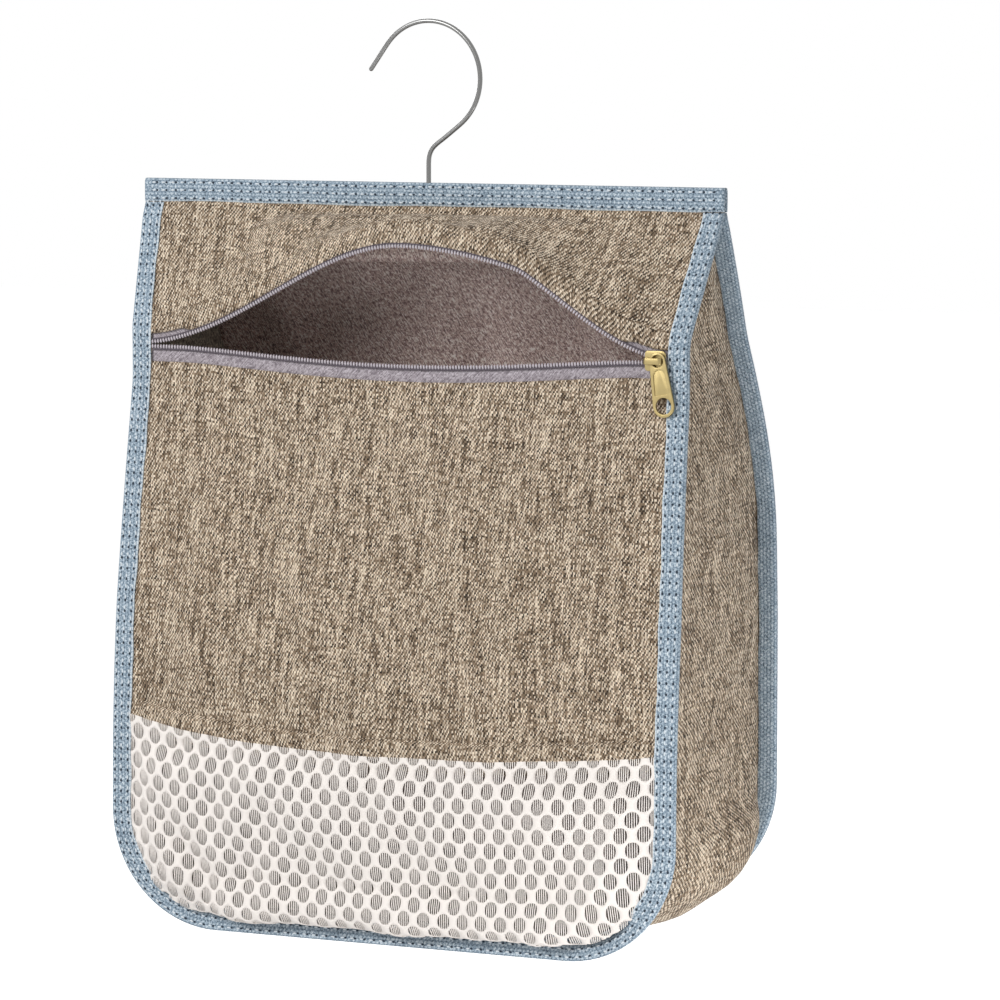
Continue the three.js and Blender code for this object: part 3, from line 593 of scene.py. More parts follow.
# Three runs of the upper lip: name, first and last x, and where it would be shut and wide open.
LIP_RUNS = [
    ("left", -ZIP_END, 0.0, -137.0, 0.0),
    ("middle", 0.0, 60.0, 200.0, 0.0),
    ("right", 60.0, ZIP_END, 133.0, 29.0),
]
LIP_ROUND = 9
SAG = 5.5
SAG_HALF = 118.0
LIP_X = np.arange(-150.0, 151.0, 1.0)
LIP_TABLE = np.zeros(len(LIP_X))
for part, first, last, shut, wide in LIP_RUNS:
    within = (LIP_X >= first) & (LIP_X <= last)
    LIP_TABLE[within] = smooth((LIP_X[within] - shut) / (wide - shut))
lip_ends = np.pad(LIP_TABLE, LIP_ROUND // 2, mode="edge")
LIP_TABLE = np.convolve(lip_ends, np.ones(LIP_ROUND) / LIP_ROUND, mode="valid")


def openness(x):
    """Share of the lip's travel by which the mouth is open at x."""
    return np.interp(x, LIP_X, LIP_TABLE)


def sag(x):
    return SAG * np.maximum(0.0, 1 - (x / SAG_HALF) ** 2) ** 1.5


print("lip travel", TRAVEL.round(1), "mm")

# %% [markdown]
# ## The lower front
# This panel hangs from the zip tape, swells as a full bag does and ends in a hem that droops in
# the middle. Soft waves keep it from looking pressed, and they die out at the sewn edges. They
# could be sculpted, but a few sine waves can be read and changed by hand. The hem is turned up
# and stitched: the cloth is thicker there and a groove runs above it. The grid's rows lie closer
# together towards the hem, so that this small fold has points to bend.

# %% Lower front relief
HEM_MIDDLE = -260.0
HEM_SIDE = 134.0
BOUND_IN = 11.0
PULL_HIGH = 1.4


def hem_z(x):
    """Height of the hem, which rises at both sides, a little more at the left."""
    t = x / HEM_SIDE
    return HEM_MIDDLE + (7.7 - 1.7 * t) * np.abs(t) ** 2.4


def front_relief(x, z):
    """Soft waves and a crease below the slider, nothing at the bindings, little at the zip."""
    across = np.clip(np.abs(x) / np.maximum(inset_width(FRONT, z, BOUND_IN), 1.0), 0, 1)
    free = (1 - across**4) * smooth((-84.0 - z) / 40.0)
    waves = [(1.2, 74, 410, 0.4), (0.9, -53, 230, 1.9), (0.6, 33, -300, 4.0), (0.8, 190, 61, 2.2)]
    crease = PULL_HIGH * np.exp(-(((x - 96 + (z + 84) * 0.55) / 17) ** 2))
    pull = crease * smooth((-90 - z) / 25) * smooth((z + 200) / 60)
    return free * (folds(x, z, waves) + pull)


def front_surface(x, z):
    return front_y(z) - swell(x, z) - front_relief(x, z)


print("hem", hem_z(-HEM_SIDE).round(1), "mm at the left,", hem_z(HEM_SIDE).round(1), "at the right")

# %% Lower front panel
LOWER_EDGE = -8.1
ALLOWANCE = 7.0
BEHIND_NET = 2.6
HEM_ROUND = 0.5
HEM_THICK = 1.3
HEM_GROOVE = 0.9
HEM_DEEP = 7.5
CLOSER_ROWS = 1.8
LOWER_SIDE = 144.0
SEAM_OVER = 1.0

t = np.linspace(-1, 1, 141)[None, :]
v = 1 - np.linspace(1, 0, 141)[:, None] ** CLOSER_ROWS
x_guess = t * LOWER_SIDE
z = (ZIP_Z + LOWER_EDGE - sag(x_guess)) * (1 - v) + (hem_z(x_guess) - ALLOWANCE) * v
x = t * (half_width(z) - SEAM_OVER)
above_hem = z - hem_z(x)
from_side = smooth((inset_width(FRONT, z, BOUND_IN) - np.abs(x)) / 8)
behind_net = BEHIND_NET * smooth((HEM_ROUND - above_hem) / BEHIND_NET)
turned = HEM_THICK * smooth((HEM_DEEP - above_hem) / 1.6) * smooth((above_hem + 2.0) / 2.0)
stitched = HEM_GROOVE * np.exp(-(((above_hem - HEM_DEEP) / 1.2) ** 2))
hem = (behind_net - turned + stitched) * from_side
lower_grid = np.stack([x, front_surface(x, z) + hem, z], axis=2)
lower_cut = flat_cut(lower_grid)
lower = cloth_sheet(
    "lower_front_cloth", "front_lower_panel", lower_grid, lower_cut, FRONTWARD, OUTER_CLOTH
)
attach(lower, "bag")

# %% [markdown]
# ## The slanted upper front
# The panel above the mouth has to fold up with the lip and lie flat when the zip is closed.

# %% Upper front panel
SEAM_POINT = np.array([0.0, -0.5, -11.0])
EDGE_POINT = np.array([0.0, ZIP_Y, -72.0])
slope = EDGE_POINT - SEAM_POINT
OUT = np.array([0.0, slope[2], -slope[1]]) / np.linalg.norm(slope)
CLEAR = 1.5
STAND = 23.0
ROOF_TOP = -9.5
BAND_TOP = -64.0
PINCH = 1.8


def roof_open(x, z):
    """The open cloth: closed cloth, its share of the lip's travel, and the stand it needs."""
    drop = np.clip((NECK - z) / (NECK - BAND_TOP), 0, 1)
    closed = np.stack(np.broadcast_arrays(x, front_y(z), z - sag(x) * drop), axis=-1)
    share = openness(x) * drop**1.12
    stand = 0.5 - np.sin(np.arcsin(1 - 2 * share) / 3)
    ahead = (closed - SEAM_POINT) @ OUT - CLEAR
    fix = (STAND * stand - ahead - share * (TRAVEL @ OUT)) * smooth(share / 0.08)
    waves = [(1.3, 84, 300, 0.3), (1.0, -61, 200, 2.0), (0.7, 37, -400, 1.1)]
    pinch = PINCH * np.exp(-(((x - 6.0) / 9.0) ** 2))
    sewn = np.clip(1 - (x / (half_width(z) - BOUND_IN)) ** 4, 0, 1)
    slack = 4 * drop * (1 - drop) * sewn * (0.9 + openness(x)) * (folds(x, z, waves) - pinch)
    return closed + share[..., None] * TRAVEL + (fix + slack)[..., None] * OUT


t = np.linspace(-1, 1, 161)[None, :]
v = np.linspace(0, 1, 73)[:, None]
z = (ROOF_TOP * (1 - v) + BAND_TOP * v) * np.ones_like(t)
x = t * (half_width(z) - SEAM_OVER)
roof_grid = roof_open(x, z)
roof_flat = np.stack([x, front_y(z), z], axis=2)
roof_cut = flat_cut(roof_grid)
roof = cloth_sheet(
    "upper_front_cloth", "front_upper_panel", roof_grid, roof_cut, (0, -1, 0.4), OUTER_CLOTH
)
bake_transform(roof)

# %% [markdown]
# ## The turned edge of the upper front
# Along the zip the cloth is folded under and stitched, so a narrow band lies between the slack
# cloth and the coil. It could be the last rows of the panel above, but that panel's blend would
# part it from the coil. So it moves with the coil, and like the coil it is cut into runs whose
# blend along X gives just the lip's own curve.

# %% Edge band
SIDE_END = 142.0
EDGE_OFF = 2.5
END_OFF = 2.4
END_FROM = 110
PILLOW = 0.9
ROOF_DEPTH = cut_size(roof_flat)[0][1] / MM


def edge_off(x):
    """The cloth's edge above the zip line. It stands clear of the slider at both ends."""
    return EDGE_OFF + END_OFF * smooth((np.abs(x) - END_FROM) / 8)


def edge_band(x):
    """Rows from the slack cloth's lower line to the edge beside the coil, slightly pillowed."""
    upper = roof_open(x, np.full_like(x, BAND_TOP))
    share = openness(x)[:, None]
    closed = np.stack([x, np.full_like(x, ZIP_Y - 0.1), ZIP_Z + edge_off(x) - sag(x)], axis=1)
    low = closed + share * TRAVEL
    rows = []
    for t in np.linspace(0, 1, 9):
        pillow = PILLOW * math.sin(math.pi * t) ** 0.7 - 0.5 * (1 - t) ** 6
        rows.append(upper * (1 - t) + low * t + np.array([0, -pillow, 0]))
    return np.stack(rows)


for part, first, last, shut, wide in LIP_RUNS:
    left = -SIDE_END if part == "left" else first
    right = SIDE_END if part == "right" else last
    x = np.linspace(left, right, 1 + round(right - left))
    band_grid = edge_band(x)
    cut = flat_cut(band_grid)
    cut[..., 0] = x[None, :]
    cut[..., 1] -= ROOF_DEPTH
    name = "upper_front_edge_" + part
    band = cloth_sheet(name, "front_upper_panel", band_grid, cut, FRONTWARD, OUTER_CLOTH)
    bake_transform(band)

# %% [markdown]
# ## Back panel and linings
# The back is one panel that leans out to the bag's full depth, with broad shallow waves. Its
# lining and that of the lower front are thinner cloth, which hangs a little slack inside. A
# filled outline would have the same edge but bends badly, so all are grids from side to side.
# The back's folds die out where it is sewn in, and those of its lining at the top.

# %% Back panel
BACK_HOLLOW = 2.0


def face_grid(face, inset, top, rows, columns, depth, relief):
    """A grid over a whole face with rounded lower corners."""
    foot = face["foot"] + inset
    z = np.linspace(top, foot, rows)[:, None] * np.ones((1, columns))
    half = inset_width(face, z, inset)
    x = np.linspace(-1, 1, columns)[None, :] * half
    y = face["y"](z) + face["inside"] * (depth + relief(x, z))
    return np.stack([x, y, z], axis=2)


def back_relief(x, z):
    from_side = np.clip(1 - (x / (half_width(z) - BOUND_IN)) ** 4, 0, 1)
    free = from_side * smooth((-16 - z) / 60) * smooth((z + 330) / 40)
    waves = [(0.9, 83, 380, 0.2), (0.7, -61, 260, 2.4), (0.5, 37, 500, 1.2), (0.6, 300, 90, 0.7)]
    hollow = BACK_HOLLOW * (1 - (x / TOP_HALF) ** 2) * smooth((-120 - z) / 80)
    return free * (folds(x, z, waves) - hollow)


back_grid = face_grid(BACK, SEAM_OVER, -0.8, 120, 120, 0.0, back_relief)
back_cut = flat_cut(back_grid)
back = cloth_sheet("back_cloth", "back_panel", back_grid, back_cut, REARWARD, OUTER_CLOTH)
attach(back, "bag")

# %% Linings of back and front
LINING_IN = 11.8
LINING_OFF = 1.6


def lining_relief(x, z):
    free = smooth((-24 - z) / 30)
    waves = [(1.0, 57, 240, 0.9), (0.8, -43, 180, 2.6), (0.6, 29, 350, 4.4)]
    return free * (LINING_OFF + folds(x, z, waves))


back_lining_grid = face_grid(BACK, LINING_IN, -20.0, 90, 90, 3.6, lining_relief)
back_lining_cut = flat_cut(back_lining_grid)
back_lining = cloth_sheet(
    "back_lining_cloth", "back_lining", back_lining_grid, back_lining_cut, FRONTWARD, INNER_LINING
)
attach(back_lining, "bag")

t = np.linspace(-1, 1, 81)[None, :]
v = np.linspace(0, 1, 61)[:, None]
z = (-98.0 - sag(t * HEM_SIDE)) * (1 - v) + (hem_z(t * HEM_SIDE) + 2.0) * v
x = t * (half_width(z) - LINING_IN)
front_lining_grid = np.stack([x, front_surface(x, z) + 1.3, z], axis=2)
front_lining_cut = flat_cut(front_lining_grid)
front_lining = cloth_sheet(
    "front_lining_cloth", "front_lining", front_lining_grid, front_lining_cut, REARWARD, INNER_LINING
)
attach(front_lining, "bag")

# %% [markdown]
# ## The gusset
# One long strip goes round both sides and the foot, from the front binding to the back one. It
# could be a swept profile, but its depth grows all the way down, so it is laid straight across
# from seam to seam and then bowed outwards: a little at the sides and well out at the lower
# corners and the foot, as in a full bag. The weave is drawn larger across the strip,
# because the strip is mostly seen at a slant.

# %% Gusset grid


def gusset_grid(insets_out, inset, depth, columns, relief, top):
    """Rows round the edge, columns from the front seam to the back seam."""
    front, rear = edge_of(FRONT, top), edge_of(BACK, top)
    front_seam, rear_seam = seam(FRONT, front, inset, depth), seam(BACK, rear, inset, depth)
    c = np.linspace(0, 1, columns)[None, :, None]
    web = front_seam[:, None, :] * (1 - c) + rear_seam[:, None, :] * c
    out = np.stack([-front["in_x"], np.zeros(len(front["s"])), -front["in_z"]], axis=1)
    depth_here = np.linalg.norm(rear_seam - front_seam, axis=1)[:, None]
    bow = relief(front["s"][:, None], c[..., 0], depth_here, front["in_z"][:, None])
    web = web + out[:, None, :] * bow[..., None]
    if not insets_out:
        return web
    lead = [seam(FRONT, front, i, depth)[:, None, :] for i in insets_out]
    tail = [seam(BACK, rear, i, depth)[:, None, :] for i in insets_out[::-1]]
    return np.concatenate([*lead, web, *tail], axis=1)


print("gusset seam", len(edge_of(FRONT, NECK)["s"]), "stations long")

# %% Gusset and its lining
FULL_DEPTH = 60
SIDE_BOW = 1.6
FOOT_BOW = 9.0
CORNER_BOW = 7.5
LINING_BOW = 6.5
LINING_SLACK = 1.5
GUSSET_GRAIN = 0.7


def gusset_bow(s, c, depth, up):
    """The strip bows out a little at the sides, and well out at the corners and the foot."""
    waves = [(0.5, 61, 1.0, 0.4), (0.4, 37, -0.6, 1.7), (0.35, 23, 1.4, 3.0)]
    sides = np.sin(np.pi * c**1.3) ** 0.8 * smooth(depth / FULL_DEPTH)
    corner = smooth(up / 0.3) * smooth((0.95 - up) / 0.5) * np.sin(np.pi * c**2.6) ** 0.8
    full = SIDE_BOW + FOOT_BOW * smooth(up / 0.7) + folds(s, c, waves)
    return sides * full + CORNER_BOW * corner


def lining_bow(s, c, depth, up):
    """The lining follows the foot's bow, and hangs inwards at the sides."""
    waves = [(0.5, 47, 1.0, 2.4), (0.4, 29, -0.6, 0.7)]
    full = LINING_BOW * smooth(up / 0.7) - LINING_SLACK - folds(s, c, waves)
    return np.sin(np.pi * c) * smooth(depth / FULL_DEPTH) * full


gusset_points = gusset_grid([2.0, 6.0], 9.6, 0.65, 30, gusset_bow, -13.0)
gusset_cut = flat_cut(gusset_points) * (GUSSET_GRAIN, 1.0)
gusset_cut[..., 1] = gusset_cut[..., 1].mean(axis=1, keepdims=True)
gusset = cloth_sheet("gusset_cloth", "gusset", gusset_points, gusset_cut, (0, 0, -1), OUTER_CLOTH)
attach(gusset, "bag")

gusset_inside = gusset_grid([], 11.4, 1.6, 22, lining_bow, -20.0)
inside_cut = flat_cut(gusset_inside)
gusset_lining = cloth_sheet(
    "gusset_lining_cloth", "gusset_lining", gusset_inside, inside_cut, (0, 0, 1), DARK_LINING
)
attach(gusset_lining, "bag")

# %% [markdown]
# ## Binding
# A tape folded over the raw edges and sewn through. Its section is a soft U: a slightly
# pillowed front wall, a round fold at the edge and a back wall. A curve with a bevel object
# would carry that section too, but it turns it at corners, so the rings are placed one by one:
# they lie in the cloth all round, and at the front's foot their inner side is tucked in.

# %% Section of the tape
# Inset from the edge and depth behind the cloth: the tape's outside, then its inside.
WALL = [
    (10.2, -0.70), (10.15, -1.02), (9.8, -1.2), (7.5, -1.34), (5.0, -1.4), (2.5, -1.34),
    (0.8, -1.12), (0.15, -0.5), (0.0, 0.5), (0.15, 1.5), (0.8, 2.12), (2.5, 2.28),
    (5.0, 2.34), (7.6, 2.28), (8.7, 2.18), (8.8, 1.9),
]
INSIDE = [
    (8.75, 1.7), (5.0, 1.75), (1.0, 1.6), (0.62, 1.2), (0.6, 0.4), (0.66, -0.3),
    (1.1, -0.62), (5.0, -0.78), (10.1, -0.68),
]


def tube(rings, cut, name, finish):
    """A closed body from rings of the same number of points."""
    count, around = rings.shape[:2]
    faces = []
    for r in range(count - 1):
        for k in range(around):
            n = (k + 1) % around
            faces.append((r * around + k, r * around + n, (r + 1) * around + n, (r + 1) * around + k))
    faces.append(tuple(range(around)))
    faces.append(tuple((count - 1) * around + k for k in reversed(range(around))))
    obj = bag_piece(name, rings, faces, cut, finish)
    shell = bmesh.new()
    shell.from_mesh(obj.data)
    bmesh.ops.recalc_face_normals(shell, faces=shell.faces)
    shell.to_mesh(obj.data)
    shell.free()
    return obj


def section_cut(section, s):
    """UV of a tape: the length along it, and the length round its section."""
    corners = np.array(section)
    v = np.concatenate([[0], np.cumsum(np.linalg.norm(np.diff(corners, axis=0), axis=1))])
    return np.stack(np.broadcast_arrays(s[:, None], v[None, :]), axis=2)


print("tape", round(section_cut(WALL, np.zeros(1))[0, -1, 1], 1), "mm wide before it is folded")

# %% Bindings round the two faces
BINDING_TOP = -11.3
PUCKER = 0.1
PUCKER_PITCH = 5.8


def edge_binding(name, node, face):
    edge = edge_of(face, BINDING_TOP)
    s = edge["s"]
    section = WALL + INSIDE
    sway = 0.22 * np.sin(s / 8.3) + 0.16 * np.sin(s / 3.1 + 1.0)
    pucker = PUCKER * np.sin(2 * math.pi * s / PUCKER_PITCH)
    room = np.maximum(0.3, np.abs(face["y"](edge["z"])) - 0.15)
    rings = []
    for inset, depth in section:
        drift = sway * (inset / TAPE_WIDE) ** 2
        deep = np.minimum(depth, room) + pucker * (abs(inset - 5) < 3) * np.sign(depth)
        rings.append(seam(face, edge, inset + drift, deep))
    obj = tube(np.stack(rings, axis=1), section_cut(section, s), name, TAPE)
    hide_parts(node)
    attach(obj, "bag")
    return edge


front_edge = edge_binding("front_binding_tape", "front_binding", FRONT)
back_edge = edge_binding("back_binding_tape", "back_binding", BACK)
front_long, back_long = front_edge["s"][-1], back_edge["s"][-1]
print("bound edge", round(front_long), "mm at the front,", round(back_long), "mm at the back")

# %% Binding along the top
TOP_TAPE = 11.0
along = np.linspace(-TOP_HALF, TOP_HALF, 121)
top_section = [
    (-1.2, -TOP_TAPE), (-1.7, -10.9), (-1.85, -9.5), (-1.95, -5.5), (-1.85, -1.5), (-1.3, -0.25),
    (0.0, 0.05), (1.3, -0.25), (1.85, -1.5), (1.95, -5.5), (1.85, -9.5), (1.7, -10.9),
    (1.2, -TOP_TAPE), (1.15, -9.0), (1.1, -1.4), (0.5, -0.7), (-0.5, -0.7), (-1.1, -1.4),
    (-1.15, -9.0),
]
hang = 0.25 * np.sin(along / 23) + 0.15 * np.sin(along / 9 + 2)
ripple = 0.12 * np.sin(along / 1.9)
rings = []
for y, z in top_section:
    low = (-z / TOP_TAPE) ** 2
    rings.append(np.stack([along, y + ripple * low * np.sign(y), z + hang * low], axis=1))
top_cut = section_cut(top_section, along)
top_binding = tube(np.stack(rings, axis=1), top_cut, "top_binding_tape", TAPE)
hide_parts("top_binding")
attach(top_binding, "bag")
print("top binding", round(np.ptp(along)), "mm long")

# %% [markdown]
# ## What repeats along a line
# Stitches and zip teeth are one small shape set again and again along a line. An Array modifier
# on a curve would bend each copy, so a Geometry Nodes tree does it: the line becomes a curve,
# points are set out at a pitch, and a low sphere is squeezed to the stitch's or tooth's size
# on each.

# %% Beads along a line
BEAD_SIZES = {"Pitch": "Float", "Deep": "Float", "High": "Float", "Long": "Float"}


def open_tree(name, inputs):
    """A Geometry Nodes tree with its named inputs, and the sockets that give them."""
    tree = bpy.data.node_groups.new(name, "GeometryNodeTree")
    tree.interface.new_socket("Geometry", in_out="INPUT", socket_type="NodeSocketGeometry")
    for label, kind in inputs.items():
        tree.interface.new_socket(label, in_out="INPUT", socket_type="NodeSocket" + kind)
    tree.interface.new_socket("Geometry", in_out="OUTPUT", socket_type="NodeSocketGeometry")
    return tree, add(tree, "NodeGroupInput").outputs


def bead_tree():
    tree, given = open_tree("beads_along_a_line", {**BEAD_SIZES, "Finish": "Material"})
    curve = add(tree, "GeometryNodeMeshToCurve", None, {0: given["Geometry"]}).outputs[0]
    facing = {"Curve": curve, "Normal": (0, -1, 0)}
    upright = add(tree, "GeometryNodeSetCurveNormal", {"mode": "FREE"}, facing).outputs[0]
    steps = {"Curve": upright, "Length": given["Pitch"]}
    spots = add(tree, "GeometryNodeCurveToPoints", {"mode": "LENGTH"}, steps).outputs
    sizes = {0: given["Deep"], 1: given["High"], 2: given["Long"]}
    size = add(tree, COMBINE, None, sizes).outputs[0]
    ball = {"Segments": 8, "Rings": 6, "Radius": 0.5}
    bead = add(tree, "GeometryNodeMeshUVSphere", None, ball).outputs[0]
    set_out = {"Points": spots["Points"], "Instance": bead, "Rotation": spots["Rotation"]}
    set_out["Scale"] = size
    beads = add(tree, "GeometryNodeInstanceOnPoints", None, set_out).outputs[0]
    real = add(tree, "GeometryNodeRealizeInstances", None, {0: beads}).outputs[0]
    soft = add(tree, "GeometryNodeSetShadeSmooth", None, {0: real}).outputs[0]
    dressed = {"Geometry": soft, "Material": given["Finish"]}
    done = add(tree, "GeometryNodeSetMaterial", None, dressed).outputs[0]
    add(tree, "NodeGroupOutput", None, {0: done})
    return tree


BEADS = bead_tree()
print("bead tree", len(BEADS.nodes), "nodes")

# %% Beads as a plain mesh


def settle(obj, name):
    """Turns an object's evaluated shape into a plain mesh object of that name."""
    bpy.context.view_layer.update()
    whole = obj.evaluated_get(bpy.context.evaluated_depsgraph_get())
    mesh = bpy.data.meshes.new_from_object(whole)
    bpy.data.objects.remove(obj)
    made = bpy.data.objects.new(name, mesh)
    scene.collection.objects.link(made)
    return made


def run_tree(obj, tree, values):
    """Adds a tree as a modifier and sets its inputs by their identifiers."""
    modifier = obj.modifiers.new(tree.name, "NODES")
    modifier.node_group = tree
    for socket in tree.interface.items_tree:
        if socket.in_out == "INPUT" and socket.name in values:
            modifier[socket.identifier] = values[socket.name]


def beads_on(line, name, pitch, deep, high, long, finish):
    """Beads of one size at a pitch along a line, all in millimetres."""
    mesh = bpy.data.meshes.new(name)
    placed = np.asarray(line) * MM + (0, 0, TOP_Z)
    mesh.from_pydata(placed.tolist(), [(i, i + 1) for i in range(len(line) - 1)], [])
    path = bpy.data.objects.new(name + "_line", mesh)
    scene.collection.objects.link(path)
    sizes = {"Pitch": pitch * MM, "Deep": deep * MM, "High": high * MM, "Long": long * MM}
    run_tree(path, BEADS, {**sizes, "Finish": finish})
    return settle(path, name)


print("inputs", [socket.name for socket in BEADS.interface.items_tree if socket.in_out == "INPUT"])

# %% [markdown]
# ## Stitches in the binding
# Three rows of pale thread hold the tape down, and between each two stitches a dark bead is the
# painted shade in a needle hole. A bump would give the same from far off, but a stitch stands up
# from the tape and is seen from the side, so each one is a flattened bead. They are drawn coarser
# than real stitches, so that they show.

# %% Binding stitches
STITCH = 5.0
STITCH_SIZE = (0.55, 0.85, 1.9)
# The dark beads in the needle holes are painted shade.
HOLE_SHADE_SIZE = (0.5, 1.15, 1.3)
NEEDLE_ROWS = (1.9, 5.2, 8.7)
TOP_ROWS = (-1.9, -5.6, -9.4)
STITCH_LIFT = 1.4
TOP_LIFT = 1.9
HOLE_STEP = 1.7


def between(line, first, last):
    """A line with its first and last few millimetres cut off."""
    s = np.concatenate([[0], np.cumsum(np.linalg.norm(np.diff(line, axis=0), axis=1))])
    end = s[-1] - last
    keep = np.concatenate([[first], s[(s > first) & (s < end)], [end]])
    return np.stack([np.interp(keep, s, column) for column in line.T], axis=1)


def stitch_row(name, line):
    """Thread along a line, and a dark bead of painted shade between each two stitches."""
    thread = beads_on(between(line, 0, HOLE_STEP), name, STITCH, *STITCH_SIZE, THREAD)
    onward = between(line, HOLE_STEP, 0)
    # Each needle hole is a dark bead of painted shade.
    hole_shades = beads_on(onward, name + "_holes", STITCH, *HOLE_SHADE_SIZE, NEEDLE_HOLE_SHADE)
    for made in (thread, hole_shades):
        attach(made, "bag")


for name, face, edge in (("front", FRONT, front_edge), ("back", BACK, back_edge)):
    for row, inset in enumerate(NEEDLE_ROWS, 1):
        stitch_row(f"{name}_stitches_{row}", seam(face, edge, inset, -STITCH_LIFT))
inner = along[2:-2]
for name, y in (("top_front", -TOP_LIFT), ("top_back", TOP_LIFT)):
    for row, height in enumerate(TOP_ROWS, 1):
        line = np.stack([inner, np.full(len(inner), y), height + hang[2:-2] * 0.5], axis=1)
        stitch_row(f"{name}_stitches_{row}", line)
print("stitches", STITCH, "mm long in", len(NEEDLE_ROWS), "rows")

# %% [markdown]
# ## The net window
# The net is a warp-knit mesh: staggered rounded holes, each crossed by a few fine upright
# yarns. A see-through pattern would be lighter, but it has no thickness at the rim of a hole.
# So one cell is drawn flat as a six-sided patch that fits against its neighbours.

# %% One cell of the net
HOLE_PITCH = 9.7
ROW_PITCH = 6.9
HOLE_WIDE = 2.85
HOLE_HIGH = 3.65
HOLE_SQUARE = 2.6
YARN_WIDE = 0.4
YARN_COUNT = 5
YARN_LAP = 0.2
CELL_LIFT = (HOLE_PITCH / 2) ** 2 / ROW_PITCH / 2
CELL_TOP = ROW_PITCH / 2 + CELL_LIFT


def net_cell():
    """A six-sided patch with a rounded hole and its upright yarns, in flat millimetres."""
    half, tall = HOLE_PITCH / 2, ROW_PITCH
    corners = [(half, tall / 2 - CELL_LIFT), (0, CELL_TOP), (-half, tall / 2 - CELL_LIFT)]
    corners += [(-x, -y) for x, y in corners]
    outer = []
    for k in range(6):
        (x0, y0), (x1, y1) = corners[k], corners[(k + 1) % 6]
        outer += [(x0 + (x1 - x0) * i / 3, y0 + (y1 - y0) * i / 3) for i in range(3)]
    inner = []
    for x, y in outer:
        angle = math.atan2(y / HOLE_HIGH, x / HOLE_WIDE)
        u, w = math.cos(angle), math.sin(angle)
        shape = (abs(u) ** HOLE_SQUARE + abs(w) ** HOLE_SQUARE) ** (-1 / HOLE_SQUARE)
        inner.append((HOLE_WIDE * shape * u, HOLE_HIGH * shape * w))
    points = [(x, y, 0) for x, y in outer + inner]
    ring = len(outer)
    faces = [(k, (k + 1) % ring, ring + (k + 1) % ring, ring + k) for k in range(ring)]
    for i in range(YARN_COUNT):
        x = HOLE_WIDE * 2 * ((i + 1) / (YARN_COUNT + 1) - 0.5)
        part = 1 - (abs(x) / HOLE_WIDE) ** HOLE_SQUARE
        reach = HOLE_HIGH * part ** (1 / HOLE_SQUARE) + YARN_LAP
        first = len(points)
        points += [(x - YARN_WIDE / 2, -reach, 0), (x + YARN_WIDE / 2, -reach, 0)]
        points += [(x + YARN_WIDE / 2, reach, 0), (x - YARN_WIDE / 2, reach, 0)]
        faces.append((first, first + 1, first + 2, first + 3))
    mesh = bpy.data.meshes.new("net_cell")
    mesh.from_pydata(points, [], faces)
    obj = bpy.data.objects.new("net_cell", mesh)
    scene.collection.objects.link(obj)
    return obj


cell = net_cell()
print("net cell", len(cell.data.polygons), "faces, holes", HOLE_PITCH, "mm apart")

# %% [markdown]
# ## A field of cells
# The cell repeats some hundreds of times in a brick pattern. Two Array modifiers would repeat it
# in straight rows only. A Geometry Nodes tree makes a grid of points, moves every second row by
# half a pitch, sets the cell on each point and merges the cells where they meet, so the whole
# net is one sheet.

# %% Field of cells
NET_COLUMNS = 31
NET_ROWS = 17
MERGE = 0.02
FIELD_SIZES = {"Columns": "Int", "Rows": "Int", "Across": "Float", "Down": "Float"}


def field_tree():
    inputs = {"Cell": "Object", **FIELD_SIZES, "Finish": "Material"}
    tree, given = open_tree("staggered_net", inputs)
    steps_x = add(tree, MATH, {"operation": "SUBTRACT"}, {0: given["Columns"], 1: 1.0}).outputs[0]
    steps_y = add(tree, MATH, {"operation": "SUBTRACT"}, {0: given["Rows"], 1: 1.0}).outputs[0]
    wide = add(tree, MATH, {"operation": "MULTIPLY"}, {0: steps_x, 1: given["Across"]}).outputs[0]
    tall = add(tree, MATH, {"operation": "MULTIPLY"}, {0: steps_y, 1: given["Down"]}).outputs[0]
    sizes = {"Size X": wide, "Size Y": tall}
    sizes.update({"Vertices X": given["Columns"], "Vertices Y": given["Rows"]})
    grid = add(tree, "GeometryNodeMeshGrid", None, sizes).outputs[0]
    spots = add(tree, "GeometryNodeMeshToPoints", None, {0: grid}).outputs[0]
    where = add(tree, "GeometryNodeInputPosition").outputs[0]
    place = add(tree, "ShaderNodeSeparateXYZ", None, {0: where}).outputs
    row = add(tree, MATH, {"operation": "DIVIDE"}, {0: place[1], 1: given["Down"]}).outputs[0]
    odd = add(tree, MATH, {"operation": "PINGPONG"}, {0: row, 1: 1.0}).outputs[0]
    half = add(tree, MATH, {"operation": "MULTIPLY"}, {0: given["Across"], 1: 0.5}).outputs[0]
    shift = add(tree, MATH, {"operation": "MULTIPLY"}, {0: odd, 1: half}).outputs[0]
    aside = add(tree, COMBINE, None, {0: shift}).outputs[0]
    moved = {"Geometry": spots, "Offset": aside}
    staggered = add(tree, "GeometryNodeSetPosition", None, moved).outputs[0]
    patch = add(tree, "GeometryNodeObjectInfo", None, {"Object": given["Cell"]}).outputs["Geometry"]
    set_out = {"Points": staggered, "Instance": patch}
    cells = add(tree, "GeometryNodeInstanceOnPoints", None, set_out).outputs[0]
    real = add(tree, "GeometryNodeRealizeInstances", None, {0: cells}).outputs[0]
    near = {"Geometry": real, "Distance": MERGE}
    one = add(tree, "GeometryNodeMergeByDistance", None, near).outputs[0]
    dressed = {"Geometry": one, "Material": given["Finish"]}
    done = add(tree, "GeometryNodeSetMaterial", None, dressed).outputs[0]
    add(tree, "NodeGroupOutput", None, {0: done})
    return tree


